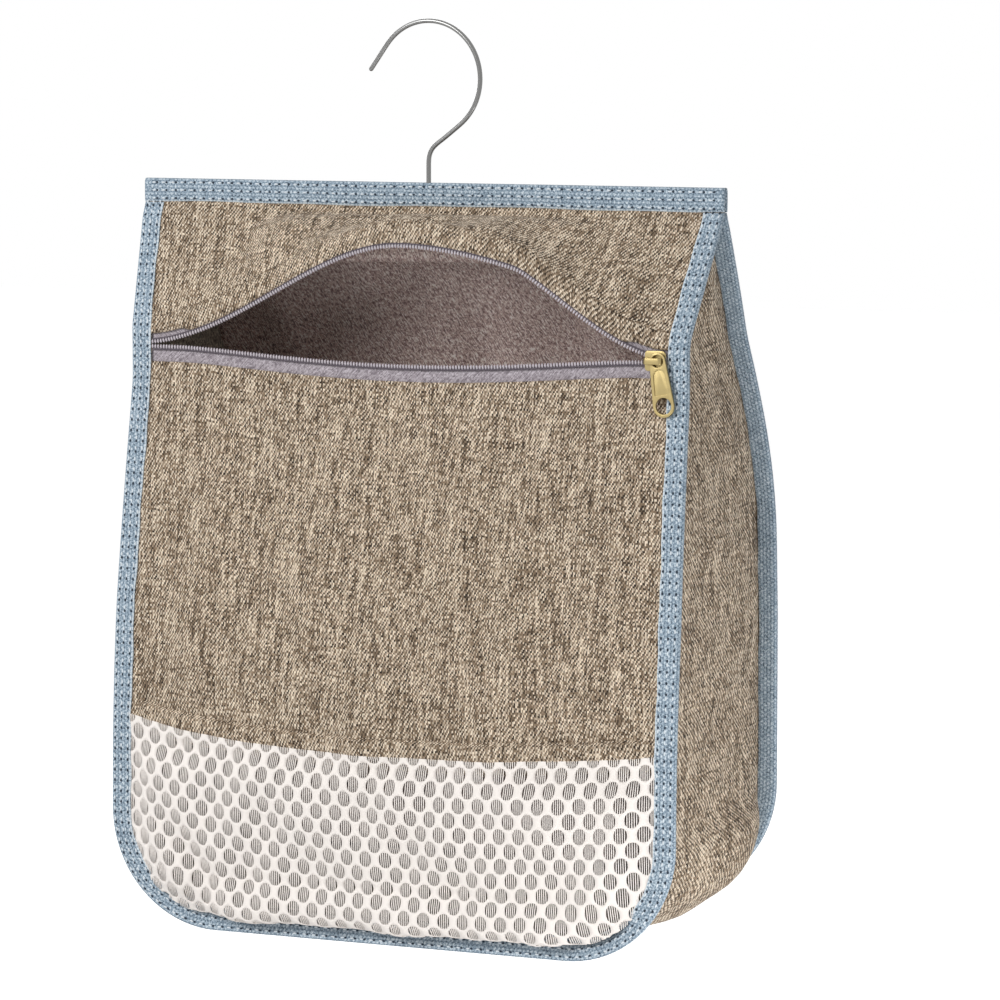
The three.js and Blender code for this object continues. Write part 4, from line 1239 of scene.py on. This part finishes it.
holder = bpy.data.objects.new("net_field", bpy.data.meshes.new("net_field"))
scene.collection.objects.link(holder)
field_sizes = {"Columns": NET_COLUMNS, "Rows": NET_ROWS, "Across": HOLE_PITCH, "Down": ROW_PITCH}
run_tree(holder, field_tree(), {"Cell": cell, **field_sizes, "Finish": NET_YARN})
field = settle(holder, "net_flat")
bpy.data.objects.remove(cell)
flat = np.array([v.co for v in field.data.vertices])
flat_faces = [tuple(p.vertices) for p in field.data.polygons]
bpy.data.objects.remove(field)
print("net field", len(flat_faces), "faces")

# %% [markdown]
# ## Drape the net
# The net follows the swelling front, laps over the cloth's hem and is gathered in the lower
# corners. At the foot it bellies out over the binding and turns back under to its seam at the
# tape's tucked edge, which lies in its shade. The flat field could be laid on with a Shrinkwrap
# modifier, but then the belly would have to be modelled first, so every point is placed from
# its own place on the flat net.

# %% Surface of the net
NET_INSET = 7.0
NET_TURN = 3.5
NET_LAP = 9.0
LEFT_GATHER = 2.6
RIGHT_GATHER = 1.6
NET_FULL = 4.5


def net_relief(x, z):
    """Gathers near the lower corners, slack waves elsewhere, and a full net above the foot."""
    left = np.exp(-(((x + 104) / 30) ** 2) - ((z + 318) / 26) ** 2)
    right = np.exp(-(((x - 108) / 24) ** 2) - ((z + 325) / 18) ** 2)
    gather = LEFT_GATHER * left * np.sin((x * 0.8 + z * 0.62) / 3.9)
    gather = gather + RIGHT_GATHER * right * np.sin((x * 0.7 - z * 0.7) / 4.2)
    waves = [(0.7, 61, 47, 0.3), (0.5, -38, 60, 1.2), (0.4, 27, -80, 2.0)]
    wide = np.maximum(inset_width(FRONT, z, NET_INSET + NET_TURN), 1.0)
    across = np.clip(np.abs(x) / wide, 0, 1)
    full = NET_FULL * smooth((wide + x) / 16) * smooth((wide - x) / 16)
    return (1 - across**4) * (gather + folds(x, z, waves)) + full * smooth((-262 - z) / 14)


def net_surface(x, z):
    """Depth of the net, in front of the cloth where it laps over the hem."""
    lap = smooth((z - hem_z(x) + NET_LAP) / NET_LAP)
    relief = front_relief(x, z) * lap + net_relief(x, z) * (1 - lap)
    return front_y(z) - swell(x, z) - relief - 0.45 - 0.55 * lap


print("net stands", -net_surface(0.0, -300.0).round(1), "mm in front of the top edge")

# %% Belly of the net at the foot
SLACK_TO = 106
BELLY = 10.5
TURN_RISE = 17.0


def slack_of(x):
    """One along the foot, falling to nothing at the corners."""
    return smooth((SLACK_TO - np.abs(x)) / 30)


def belly_of(x):
    """How far the net sags over the foot, uneven as gathered net is."""
    return BELLY * slack_of(x) * (1 + 0.09 * np.sin(x / 12.7 + 0.6) + 0.06 * np.sin(x / 6.3))


def net_seam(x):
    """Height of the seam under the binding: flat at the foot, round at the corners."""
    inset = NET_INSET + NET_TURN * slack_of(x)
    centre_x = half_width(FRONT_FOOT + CORNER) - CORNER
    radius = CORNER - inset
    beyond = np.clip(np.abs(x) - centre_x, 0, radius)
    return FRONT_FOOT + CORNER - np.sqrt(radius**2 - beyond**2)


def turn_length(x):
    """Length of net from where it leaves the front to its seam."""
    return TURN_RISE + 1.7 * belly_of(x)


print("net sags", belly_of(np.linspace(-SLACK_TO, SLACK_TO, 90)).max().round(1), "mm over the foot")

# %% Drape the net
NET_THICK = 0.5
TOP_TRIM = 0.4


def drape(x, down):
    """Places flat net points, x across and down from the top. Below the turn they run on a curve."""
    seam_z = net_seam(x)
    turn_z = seam_z + TURN_RISE
    t = np.clip((down - hem_z(x) + turn_z) / turn_length(x), 0, 1)[:, None]
    z = np.maximum(hem_z(x) - down, turn_z)
    y = net_surface(x, z)
    belly = belly_of(x)
    end_y = front_y(seam_z) - 0.35 + FRONT["tuck"] * slack_of(x)
    p0 = np.stack([y, z], axis=1)
    p1 = np.stack([y - 0.25 * belly, z - 0.5 * TURN_RISE], axis=1)
    p2 = np.stack([front_y(seam_z) - 1.5 * belly, seam_z + 3.0 - 1.4 * belly], axis=1)
    p3 = np.stack([end_y, seam_z], axis=1)
    curve = p0 * (1 - t) ** 3 + 3 * p1 * t * (1 - t) ** 2 + 3 * p2 * t * t * (1 - t) + p3 * t**3
    return np.stack([x, curve[:, 0], curve[:, 1]], axis=1)


def level_of(x, down):
    """Height of a net point as if it hung straight down to its seam."""
    return np.clip(hem_z(x) - down, net_seam(x), 0)


reach = flat[:, 1].max()
down = reach - flat[:, 1] - CELL_TOP
x = flat[:, 0].copy()
limit = inset_width(FRONT, level_of(x, down), NET_INSET)
centre = np.array([x[list(f)].mean() for f in flat_faces])
middle = np.array([down[list(f)].mean() for f in flat_faces])
kept = np.abs(centre) < inset_width(FRONT, level_of(centre, middle), NET_INSET)
kept &= np.array([down[list(f)].max() for f in flat_faces]) > TOP_TRIM
kept &= middle < hem_z(centre) - net_seam(centre) - TURN_RISE + turn_length(centre)
x = np.clip(x, -limit, limit)
down = np.maximum(down, 0.0)
used = sorted({k for f, keep in zip(flat_faces, kept) if keep for k in f})
index = {k: i for i, k in enumerate(used)}
net_points = drape(x[used], down[used])
net_faces = [tuple(index[k] for k in f) for f, keep in zip(flat_faces, kept) if keep]
net = bag_piece("net_window", net_points, net_faces, flat[used][:, :2], NET_YARN)
turn_out(net, FRONTWARD)
thicken(net, NET_THICK)
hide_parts("mesh_window")
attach(net, "bag")
print("net", len(net_faces), "faces")

# %% [markdown]
# ## The zip
# Two tapes, each with a nylon coil sewn to its edge. A true coil would be a spiral with far more
# faces than can be seen, so its turns are beads along the lip line, with a sewing cord beside
# them whose dark colour is partly its own and partly painted shade from the coil. The upper tape
# and coil are cut into three runs, each blended along X from where it is sewn to where it is
# wide open, so that together they follow the arch.

# %% Zip strips and coils
TOOTH = 1.5
TOOTH_SIZE = (1.3, 2.2, 1.0)
TOOTH_OFF = 1.0
CORD_OFF = 2.2
CORD_RADIUS = 0.45
ZIP_THICK = 0.6


def lip_point(x, off, depth, side):
    """A point at a height off the zip line on the lower (-1) or upper (+1) lip."""
    share = openness(x) if side > 0 else np.zeros_like(x)
    y = ZIP_Y + depth + TRAVEL[1] * share
    return np.stack([x, y, ZIP_Z - sag(x) + side * off + TRAVEL[2] * share], axis=-1)


def zip_strip(name, x, near, far, depth, side):
    off = near + (far - near) * np.linspace(0, 1, 5)[:, None] * np.ones_like(x)
    grid = np.stack([lip_point(x, o, depth, side) for o in off], axis=0)
    cut = np.stack(np.broadcast_arrays(x[None, :], off), axis=2)
    strip = bag_piece(name, grid, grid_faces(len(off), len(x)), cut, ZIP_TAPE)
    turn_out(strip, FRONTWARD)
    thicken(strip, ZIP_THICK)
    return strip


def cord_tube(line, radius):
    """Rings of a thin round cord along a line."""
    angle = np.linspace(0, 2 * math.pi, 7)[:-1]
    around = np.stack([np.zeros(6), np.cos(angle), np.sin(angle)], axis=1) * radius
    return line[:, None, :] + around[None, :, :]


def zip_coil(name, x, side):
    """A row of teeth and the cord that is sewn along them, as one piece."""
    teeth = beads_on(lip_point(x, TOOTH_OFF, -0.35, side), name, TOOTH, *TOOTH_SIZE, COIL)
    rings = cord_tube(lip_point(x, CORD_OFF, -0.2, side), CORD_RADIUS)
    # The cord's dark colour is partly its own and partly painted shade from the coil.
    cord = tube(rings, None, name + "_cord", COIL_CORD_AND_SHADE)
    with bpy.context.temp_override(active_object=teeth, selected_editable_objects=[teeth, cord]):
        bpy.ops.object.join()
    return teeth


print("zip teeth", TOOTH, "mm apart, about", round(2 * ZIP_END / TOOTH), "on each lip")

# %% Zip lips
TAPE_END = 137.0
TAPE_NEAR = 0.8
TAPE_FAR = 14.0
TAPE_BEHIND = 0.95
TAPE_UNDER = 1.9

whole_x = np.linspace(-ZIP_END, ZIP_END, 240)
tape_x = np.linspace(-TAPE_END, TAPE_END, 240)
tape = zip_strip("lower_zip_tape", tape_x, TAPE_NEAR, TAPE_FAR, TAPE_BEHIND, -1)
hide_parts("zip_tape_lower")
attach(tape, "bag")
coil = zip_coil("lower_zip_coil", whole_x, -1)
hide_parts("zip_chain_lower")
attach(coil, "bag")
for part, first, last, shut, wide in LIP_RUNS:
    x = np.linspace(first, last, 1 + round(last - first))
    tape_x = x.copy()
    tape_x[0] = -TAPE_END if part == "left" else first
    tape_x[-1] = TAPE_END if part == "right" else last
    far = edge_off(tape_x) + TAPE_UNDER
    tape = zip_strip("upper_zip_tape_" + part, tape_x, TAPE_NEAR, far, TAPE_BEHIND, 1)
    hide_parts("zip_tape_upper")
    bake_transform(tape)
    coil = zip_coil("upper_zip_coil_" + part, x, 1)
    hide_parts("zip_chain_upper")
    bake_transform(coil)
    print("upper lip", part, len(coil.data.polygons), "faces of coil")

# %% [markdown]
# ## Small castings
# The slider and its pull are cast, so their edges are soft. Blocks with a Bevel modifier would
# do for plain shapes, but holes bevel badly. Here flat outlines are filled and given a bevelled
# thickness as curves, which keeps the round holes clean, and the layers are stacked.

# %% One cast plate


def arc(radius, x, z, first, last, steps):
    turn = np.radians(np.linspace(first, last, steps + 1))
    return [(x + radius * math.cos(a), z + radius * math.sin(a)) for a in turn]


def cast_plate(outlines, near, far, bevel, upright=True):
    """A plate from flat outlines in (x, z), between two depths, with rounded edges."""
    curve = bpy.data.curves.new("outline", "CURVE")
    curve.dimensions = "2D"
    curve.fill_mode = "BOTH"
    curve.extrude = abs(far - near) / 2 - bevel
    curve.bevel_depth = bevel
    curve.bevel_resolution = 2
    curve.offset = -bevel
    for outline in outlines:
        spline = curve.splines.new("POLY")
        spline.points.add(len(outline) - 1)
        for point, (u, w) in zip(spline.points, outline):
            point.co = (u, w, 0, 1)
        spline.use_cyclic_u = True
    holder = bpy.data.objects.new("outline", curve)
    scene.collection.objects.link(holder)
    plate = settle(holder, "plate")
    middle = (near + far) / 2
    if upright:
        turn = Matrix(((1, 0, 0, 0), (0, 0, -1, middle), (0, 1, 0, 0), (0, 0, 0, 1)))
    else:
        turn = Matrix(((1, 0, 0, 0), (0, 1, 0, 0), (0, 0, 1, middle), (0, 0, 0, 1)))
    plate.data.transform(turn)
    return plate


print("a quarter round in", len(arc(1.6, 0, 0, 180, 270, 5)), "points")

# %% Plates joined to a casting
SHARP = 35
DOUBLES = 1e-7


def joined(plates, name, centre, finish):
    """One casting from its plates, set at its centre in the bag's millimetres."""
    with bpy.context.temp_override(active_object=plates[0], selected_editable_objects=plates):
        bpy.ops.object.join()
    made = plates[0]
    made.name = name
    made.data.materials.clear()
    made.data.materials.append(finish)
    place = Matrix.Translation(Vector(centre) * MM + Vector((0, 0, TOP_Z))) @ Matrix.Scale(MM, 4)
    made.data.transform(place)
    shell = bmesh.new()
    shell.from_mesh(made.data)
    bmesh.ops.remove_doubles(shell, verts=shell.verts, dist=DOUBLES)
    bmesh.ops.recalc_face_normals(shell, faces=shell.faces)
    shell.to_mesh(made.data)
    shell.free()
    made.data.shade_smooth()
    made.data.set_sharp_from_angle(angle=math.radians(SHARP))
    return made


print("edges over", SHARP, "degrees stay sharp")

# %% [markdown]
# ## The slider
# Two shield-shaped plates hold the coils between them, lips along their sides guide the tapes,
# a wedge parts the teeth, and a bridge on the front holds the pull. One block could be cut out
# with booleans, but stacked plates keep the channel for the coils open and clean. Each outline
# is drawn in millimetres about the slider's own middle.

# %% Slider
SLIDER_X = 128.0
shield = arc(1.6, -3.6, -3.0, 180, 270, 5) + arc(2.0, 3.2, -2.6, 270, 360, 5)
shield += [(u, -w) for u, w in reversed(shield)]
lip_low = [(-3.7, -4.5), (3.0, -4.5), (3.0, -3.75), (-3.7, -3.75)]
lip_high = [(u, -w) for u, w in reversed(lip_low)]
wedge = [(-4.6, 0.0), (-3.2, -0.8), (-0.8, 0.0), (-3.2, 0.8)]
bridge = [(-4.8, -2.4), (-4.8, -4.4)]
bridge += arc(1.6, -3.2, -4.4, 180, 270, 6)
bridge += arc(1.6, 2.5, -4.4, 270, 360, 6)
bridge += [(4.1, -2.4), (2.9, -2.4), (2.9, -4.2)]
bridge += arc(0.7, 2.2, -4.3, 0, -90, 4)
bridge += arc(0.7, -3.0, -4.3, -90, -180, 4)
bridge += [(-3.7, -4.2), (-3.7, -2.4)]
slider_parts = [
    cast_plate([shield], -2.6, -1.7, 0.25),
    cast_plate([shield], 1.8, 2.7, 0.25),
    cast_plate([lip_low], -1.9, 0.35, 0.12),
    cast_plate([lip_high], -1.9, 0.35, 0.12),
    cast_plate([wedge], -1.9, 2.0, 0.05),
    cast_plate([bridge], -1.45, 1.45, 0.3, upright=False),
]
slider = joined(slider_parts, "slider_casting", (SLIDER_X, ZIP_Y, ZIP_Z), BRASS)
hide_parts("zip_slider")
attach(slider, "slider")
print("slider", len(slider.data.polygons), "faces")

# %% [markdown]
# ## The pull
# A flat tab hangs from the bridge by its eye and widens to a round end with a finger hole. Its
# plain sunk face could be cut in with a boolean, but a second, thinner layer that leaves the
# middle open gives the same raised rim with clean edges. The tab leans a little, as it hangs in
# the frame.

# %% Pull
PIVOT = 1.75
LEAN = math.radians(9)
HOLE_DROP = -20.3
tab = arc(3.9, 0, 0, 0, 180, 14) + arc(5.2, 0, HOLE_DROP, 180, 360, 18)
eye = arc(2.85, 0, 0, 0, 345, 23)
finger_hole = arc(3.8, 0, HOLE_DROP, 0, 348, 29)
panel = arc(2.9, 0, -6.8, 0, 180, 10) + [(-3.5, -15.3), (3.5, -15.3)]
pull_parts = [
    cast_plate([tab, eye, finger_hole], -4.0, -3.1, 0.18),
    cast_plate([tab, eye, finger_hole, panel], -4.4, -3.8, 0.16),
]
for plate in pull_parts:
    plate.data.transform(Matrix.Rotation(LEAN, 4, "Y").inverted())
pull = joined(pull_parts, "pull_tab", (SLIDER_X + PIVOT, ZIP_Y, ZIP_Z), BRASS)
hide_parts("zip_pull")
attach(pull, "pull")
print("pull", len(pull.data.polygons), "faces")

# %% [markdown]
# ## Hanger
# The hook is one round wire: straight up out of the hem, out to the right, round in a bow and
# on in a short straight run to a blunt tip. A curve with a round bevel would do, but its tip
# would be flat, so rings are set along the line and closed with a rounded end. The bar and
# washer in the hem keep their solids and only take a finish.

# %% Hook line
HOOK_RADIUS = 26.6
HOOK_CENTRE = 48.0
BEND = 14.0
BEND_OUT = 2.8
BOW_TURN = -50
TIP_TURN = 144
TIP_RUN = 15.0
HOOK_ROUND = 13


def hook_line():
    """The wire's middle line in (x, z), with its bends rounded."""
    turn = np.radians(np.linspace(BOW_TURN, TIP_TURN, 61))
    ring = np.stack([HOOK_RADIUS * np.cos(turn), HOOK_CENTRE + HOOK_RADIUS * np.sin(turn)], axis=1)
    meet, tip = ring[0], ring[-1]
    low = [(0, -34.5), (0, -20), (0, 0), (0, BEND - 3), (0.6, BEND), (2.6, BEND + BEND_OUT)]
    low.append((meet[0] * 0.55, BEND + BEND_OUT + (meet[1] - BEND - BEND_OUT) * 0.45))
    onward = np.array([-math.sin(turn[-1]), math.cos(turn[-1])])
    end = [tip + onward * reach for reach in np.linspace(0, TIP_RUN, 4)[1:]]
    knots = np.concatenate([low, ring, end])
    s = np.concatenate([[0], np.cumsum(np.linalg.norm(np.diff(knots, axis=0), axis=1))])
    even = np.linspace(0, s[-1], 420)
    line = np.stack([np.interp(even, s, knots[:, 0]), np.interp(even, s, knots[:, 1])], axis=1)
    kernel = np.ones(HOOK_ROUND) / HOOK_ROUND
    padded = [np.pad(c, HOOK_ROUND // 2, mode="edge") for c in line.T]
    soft = np.stack([np.convolve(c, kernel, mode="valid") for c in padded], axis=1)
    return soft[::2]


hook_run = hook_line()
print("hook wire", round(np.linalg.norm(np.diff(hook_run, axis=0), axis=1).sum()), "mm long")

# %% Hook, bar and washer
WIRE_RADIUS = 1.1


def wire(line, radius, name, finish):
    """A round wire along a line in (x, z), with a rounded far end."""
    ahead = np.gradient(line, axis=0)
    ahead /= np.linalg.norm(ahead, axis=1)[:, None]
    cap = np.linspace(0, 1, 6)[1:]
    ends = [line[-1] + ahead[-1] * radius * math.sin(c * math.pi / 2) for c in cap]
    line = np.concatenate([line, ends])
    ahead = np.concatenate([ahead, np.repeat(ahead[-1:], len(cap), axis=0)])
    tip = radius * np.maximum(0.08, np.cos(cap * math.pi / 2))
    size = np.concatenate([np.full(len(line) - len(cap), radius), tip])
    angle = np.linspace(0, 2 * math.pi, 17)[:-1]
    side = np.stack([ahead[:, 1], np.zeros(len(line)), -ahead[:, 0]], axis=1)
    spine = np.stack([line[:, 0], np.zeros(len(line)), line[:, 1]], axis=1)
    sideways = np.cos(angle)[None, :, None] * side[:, None, :]
    across = np.sin(angle)[None, :, None] * np.array([0.0, 1.0, 0.0])
    rings = spine[:, None, :] + size[:, None, None] * (sideways + across)
    return tube(rings, None, name, finish)


hook = wire(hook_run, WIRE_RADIUS, "hook_wire", STEEL)
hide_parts("hanger_hook")
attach(hook, "hook")
for node, finish, slot in (("hanger_bar", BAR_WOOD, "bar_wood"), ("hook_washer", STEEL, "steel")):
    solid = frame["nodes"][node]
    solid.data.materials.clear()
    solid.data.materials.append(finish)
print("hook wire", len(hook.data.polygons), "faces")

# %% [markdown]
# ## Sleeve round the bar
# The bar lies in a sleeve of lining, folded over and sewn into the top seam, so that it stays
# hidden when one looks in at the mouth. A bevelled box would hide it too but look stiff, so the
# sleeve's section is a rounded oblong a little larger than the bar, with slight waves along it.

# %% Sleeve round the bar
SLEEVE_HALF = 134.0
SLEEVE_Z = -27.3
SLEEVE_DEEP = 3.9
SLEEVE_TALL = 9.6
SLEEVE_STEPS = (41, 90)

turn = np.linspace(-0.5 * math.pi, 1.5 * math.pi, SLEEVE_STEPS[0])
loop_y = SLEEVE_DEEP * np.sign(np.cos(turn)) * np.abs(np.cos(turn)) ** 0.5
loop_z = SLEEVE_Z + SLEEVE_TALL * np.sign(np.sin(turn)) * np.abs(np.sin(turn)) ** 0.7
sleeve_x = np.linspace(-SLEEVE_HALF, SLEEVE_HALF, SLEEVE_STEPS[1])
wave_y = loop_y[:, None] + 0.25 * np.sin(sleeve_x / 13)[None, :]
wave_z = loop_z[:, None] + 0.5 * np.sin(sleeve_x / 19 + 1)[None, :]
sleeve_grid = np.stack([np.broadcast_to(sleeve_x[None, :], SLEEVE_STEPS), wave_y, wave_z], axis=2)
sleeve_faces = grid_faces(*SLEEVE_STEPS)
sleeve = bag_piece("bar_sleeve", sleeve_grid, sleeve_faces, flat_cut(sleeve_grid), LINING)
thicken(sleeve, LINING_THICK)
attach(sleeve, "bag")

# %% [markdown]
# ## Stage
# A pale floor lies well under the hanging bag, and camera and mirrors see a white surround. An
# image of a studio could light it too, but three soft lamps are easier to learn from: a broad
# key from the upper left in front, a small low fill beside the right foot, and a weaker lamp
# behind, which keeps the back from going dark.

# %% Floor and white surround
FLOOR_HALF = 8.0
FLOOR_DROP = 0.22
FLOOR_GLOW = 0.7
AMBIENT = 0.45
WHITE = (1, 1, 1, 1)


def shown_white(tree):
    """One for a ray from the camera or a mirror, where the surround is plain white."""
    path = add(tree, "ShaderNodeLightPath").outputs
    bent = {0: path["Is Glossy Ray"], 1: path["Is Transmission Ray"]}
    mirrored = add(tree, MATH, {"operation": "MAXIMUM"}, bent).outputs[0]
    seen = {0: path["Is Camera Ray"], 1: mirrored}
    return add(tree, MATH, {"operation": "MAXIMUM"}, seen).outputs[0]


def pale_floor():
    mesh = bpy.data.meshes.new("floor")
    level = cad_low.z - FLOOR_DROP
    corners = [(-1, -1), (1, -1), (1, 1), (-1, 1)]
    points = [(FLOOR_HALF * x, FLOOR_HALF * y, level) for x, y in corners]
    mesh.from_pydata(points, [], [(0, 1, 2, 3)])
    floor = bpy.data.objects.new("floor", mesh)
    scene.collection.objects.link(floor)
    finish, tree, shader = start_finish("pale_floor", Roughness=1.0)
    shader.inputs["Base Color"].default_value = linear("c8c8c8")
    lit = {0: shown_white(tree), 1: FLOOR_GLOW}
    glow = add(tree, MATH, {"operation": "MULTIPLY"}, lit).outputs[0]
    shader.inputs["Emission Color"].default_value = WHITE
    tree.links.new(glow, shader.inputs["Emission Strength"])
    mesh.materials.append(finish)
    floor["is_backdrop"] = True


def white_world(ambient):
    world = bpy.data.worlds.new("white_surround")
    world.use_nodes = True
    scene.world = world
    tree = world.node_tree
    levels = {0: shown_white(tree), 3: ambient, 4: 1.0}
    level = add(tree, "ShaderNodeMapRange", None, levels).outputs[0]
    back = tree.nodes["Background"]
    back.inputs["Color"].default_value = WHITE
    tree.links.new(level, back.inputs["Strength"])


pale_floor()
white_world(AMBIENT)
print("floor at", round(cad_low.z - FLOOR_DROP, 3), "m")

# %% Lamps
MIDDLE = (0.0, 0.0, -0.25)


def lamp(name, place, aim, size, watts):
    light = bpy.data.lights.new(name, "AREA")
    light.size = size
    light.energy = watts
    obj = bpy.data.objects.new(name, light)
    obj.location = place
    obj.rotation_euler = (Vector(aim) - Vector(place)).to_track_quat("-Z", "Y").to_euler()
    scene.collection.objects.link(obj)


lamp("key", (-0.9, -1.9, 0.85), MIDDLE, 1.1, 32.5)
lamp("fill", (0.42, -0.12, -0.56), (0.15, 0.01, -0.36), 0.3, 1.25)
lamp("back", (-1.2, 1.9, 0.5), MIDDLE, 1.2, 14)
print("lamps", [(light.name, round(light.energy, 2)) for light in bpy.data.lights])

# %% [markdown]
# ## Camera
# A long lens from well back, a little above the middle and to the right, so that front and
# gusset both show and upright edges stay nearly parallel. The place was found by matching the
# bag's corners with those of the photograph.

# %% Camera
EYE = (1.1222, -2.2083, 0.0158)
LOOK_AT = (0.0367, 0.0, -0.2192)
camera = bpy.data.cameras.new("photo_camera")
camera.lens = 192.7
camera.sensor_width = 36.0
camera.clip_end = 100.0
viewpoint = bpy.data.objects.new("photo_camera", camera)
viewpoint.location = EYE
viewpoint.rotation_euler = (Vector(LOOK_AT) - Vector(EYE)).to_track_quat("-Z", "Y").to_euler()
scene.collection.objects.link(viewpoint)
scene.camera = viewpoint
print("camera", round((Vector(EYE) - Vector(LOOK_AT)).length, 2), "m away, lens", camera.lens)

# %% [markdown]
# ## Sizes
# The finished bag is meant to fill the same box as the solids, apart from what soft cloth may
# stand proud. The frame's box was printed at the start, and the box of what is shown is printed here.

# %% Sizes and finish
low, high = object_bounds()
print("visual box", [round(v, 4) for v in (*low, *high)])
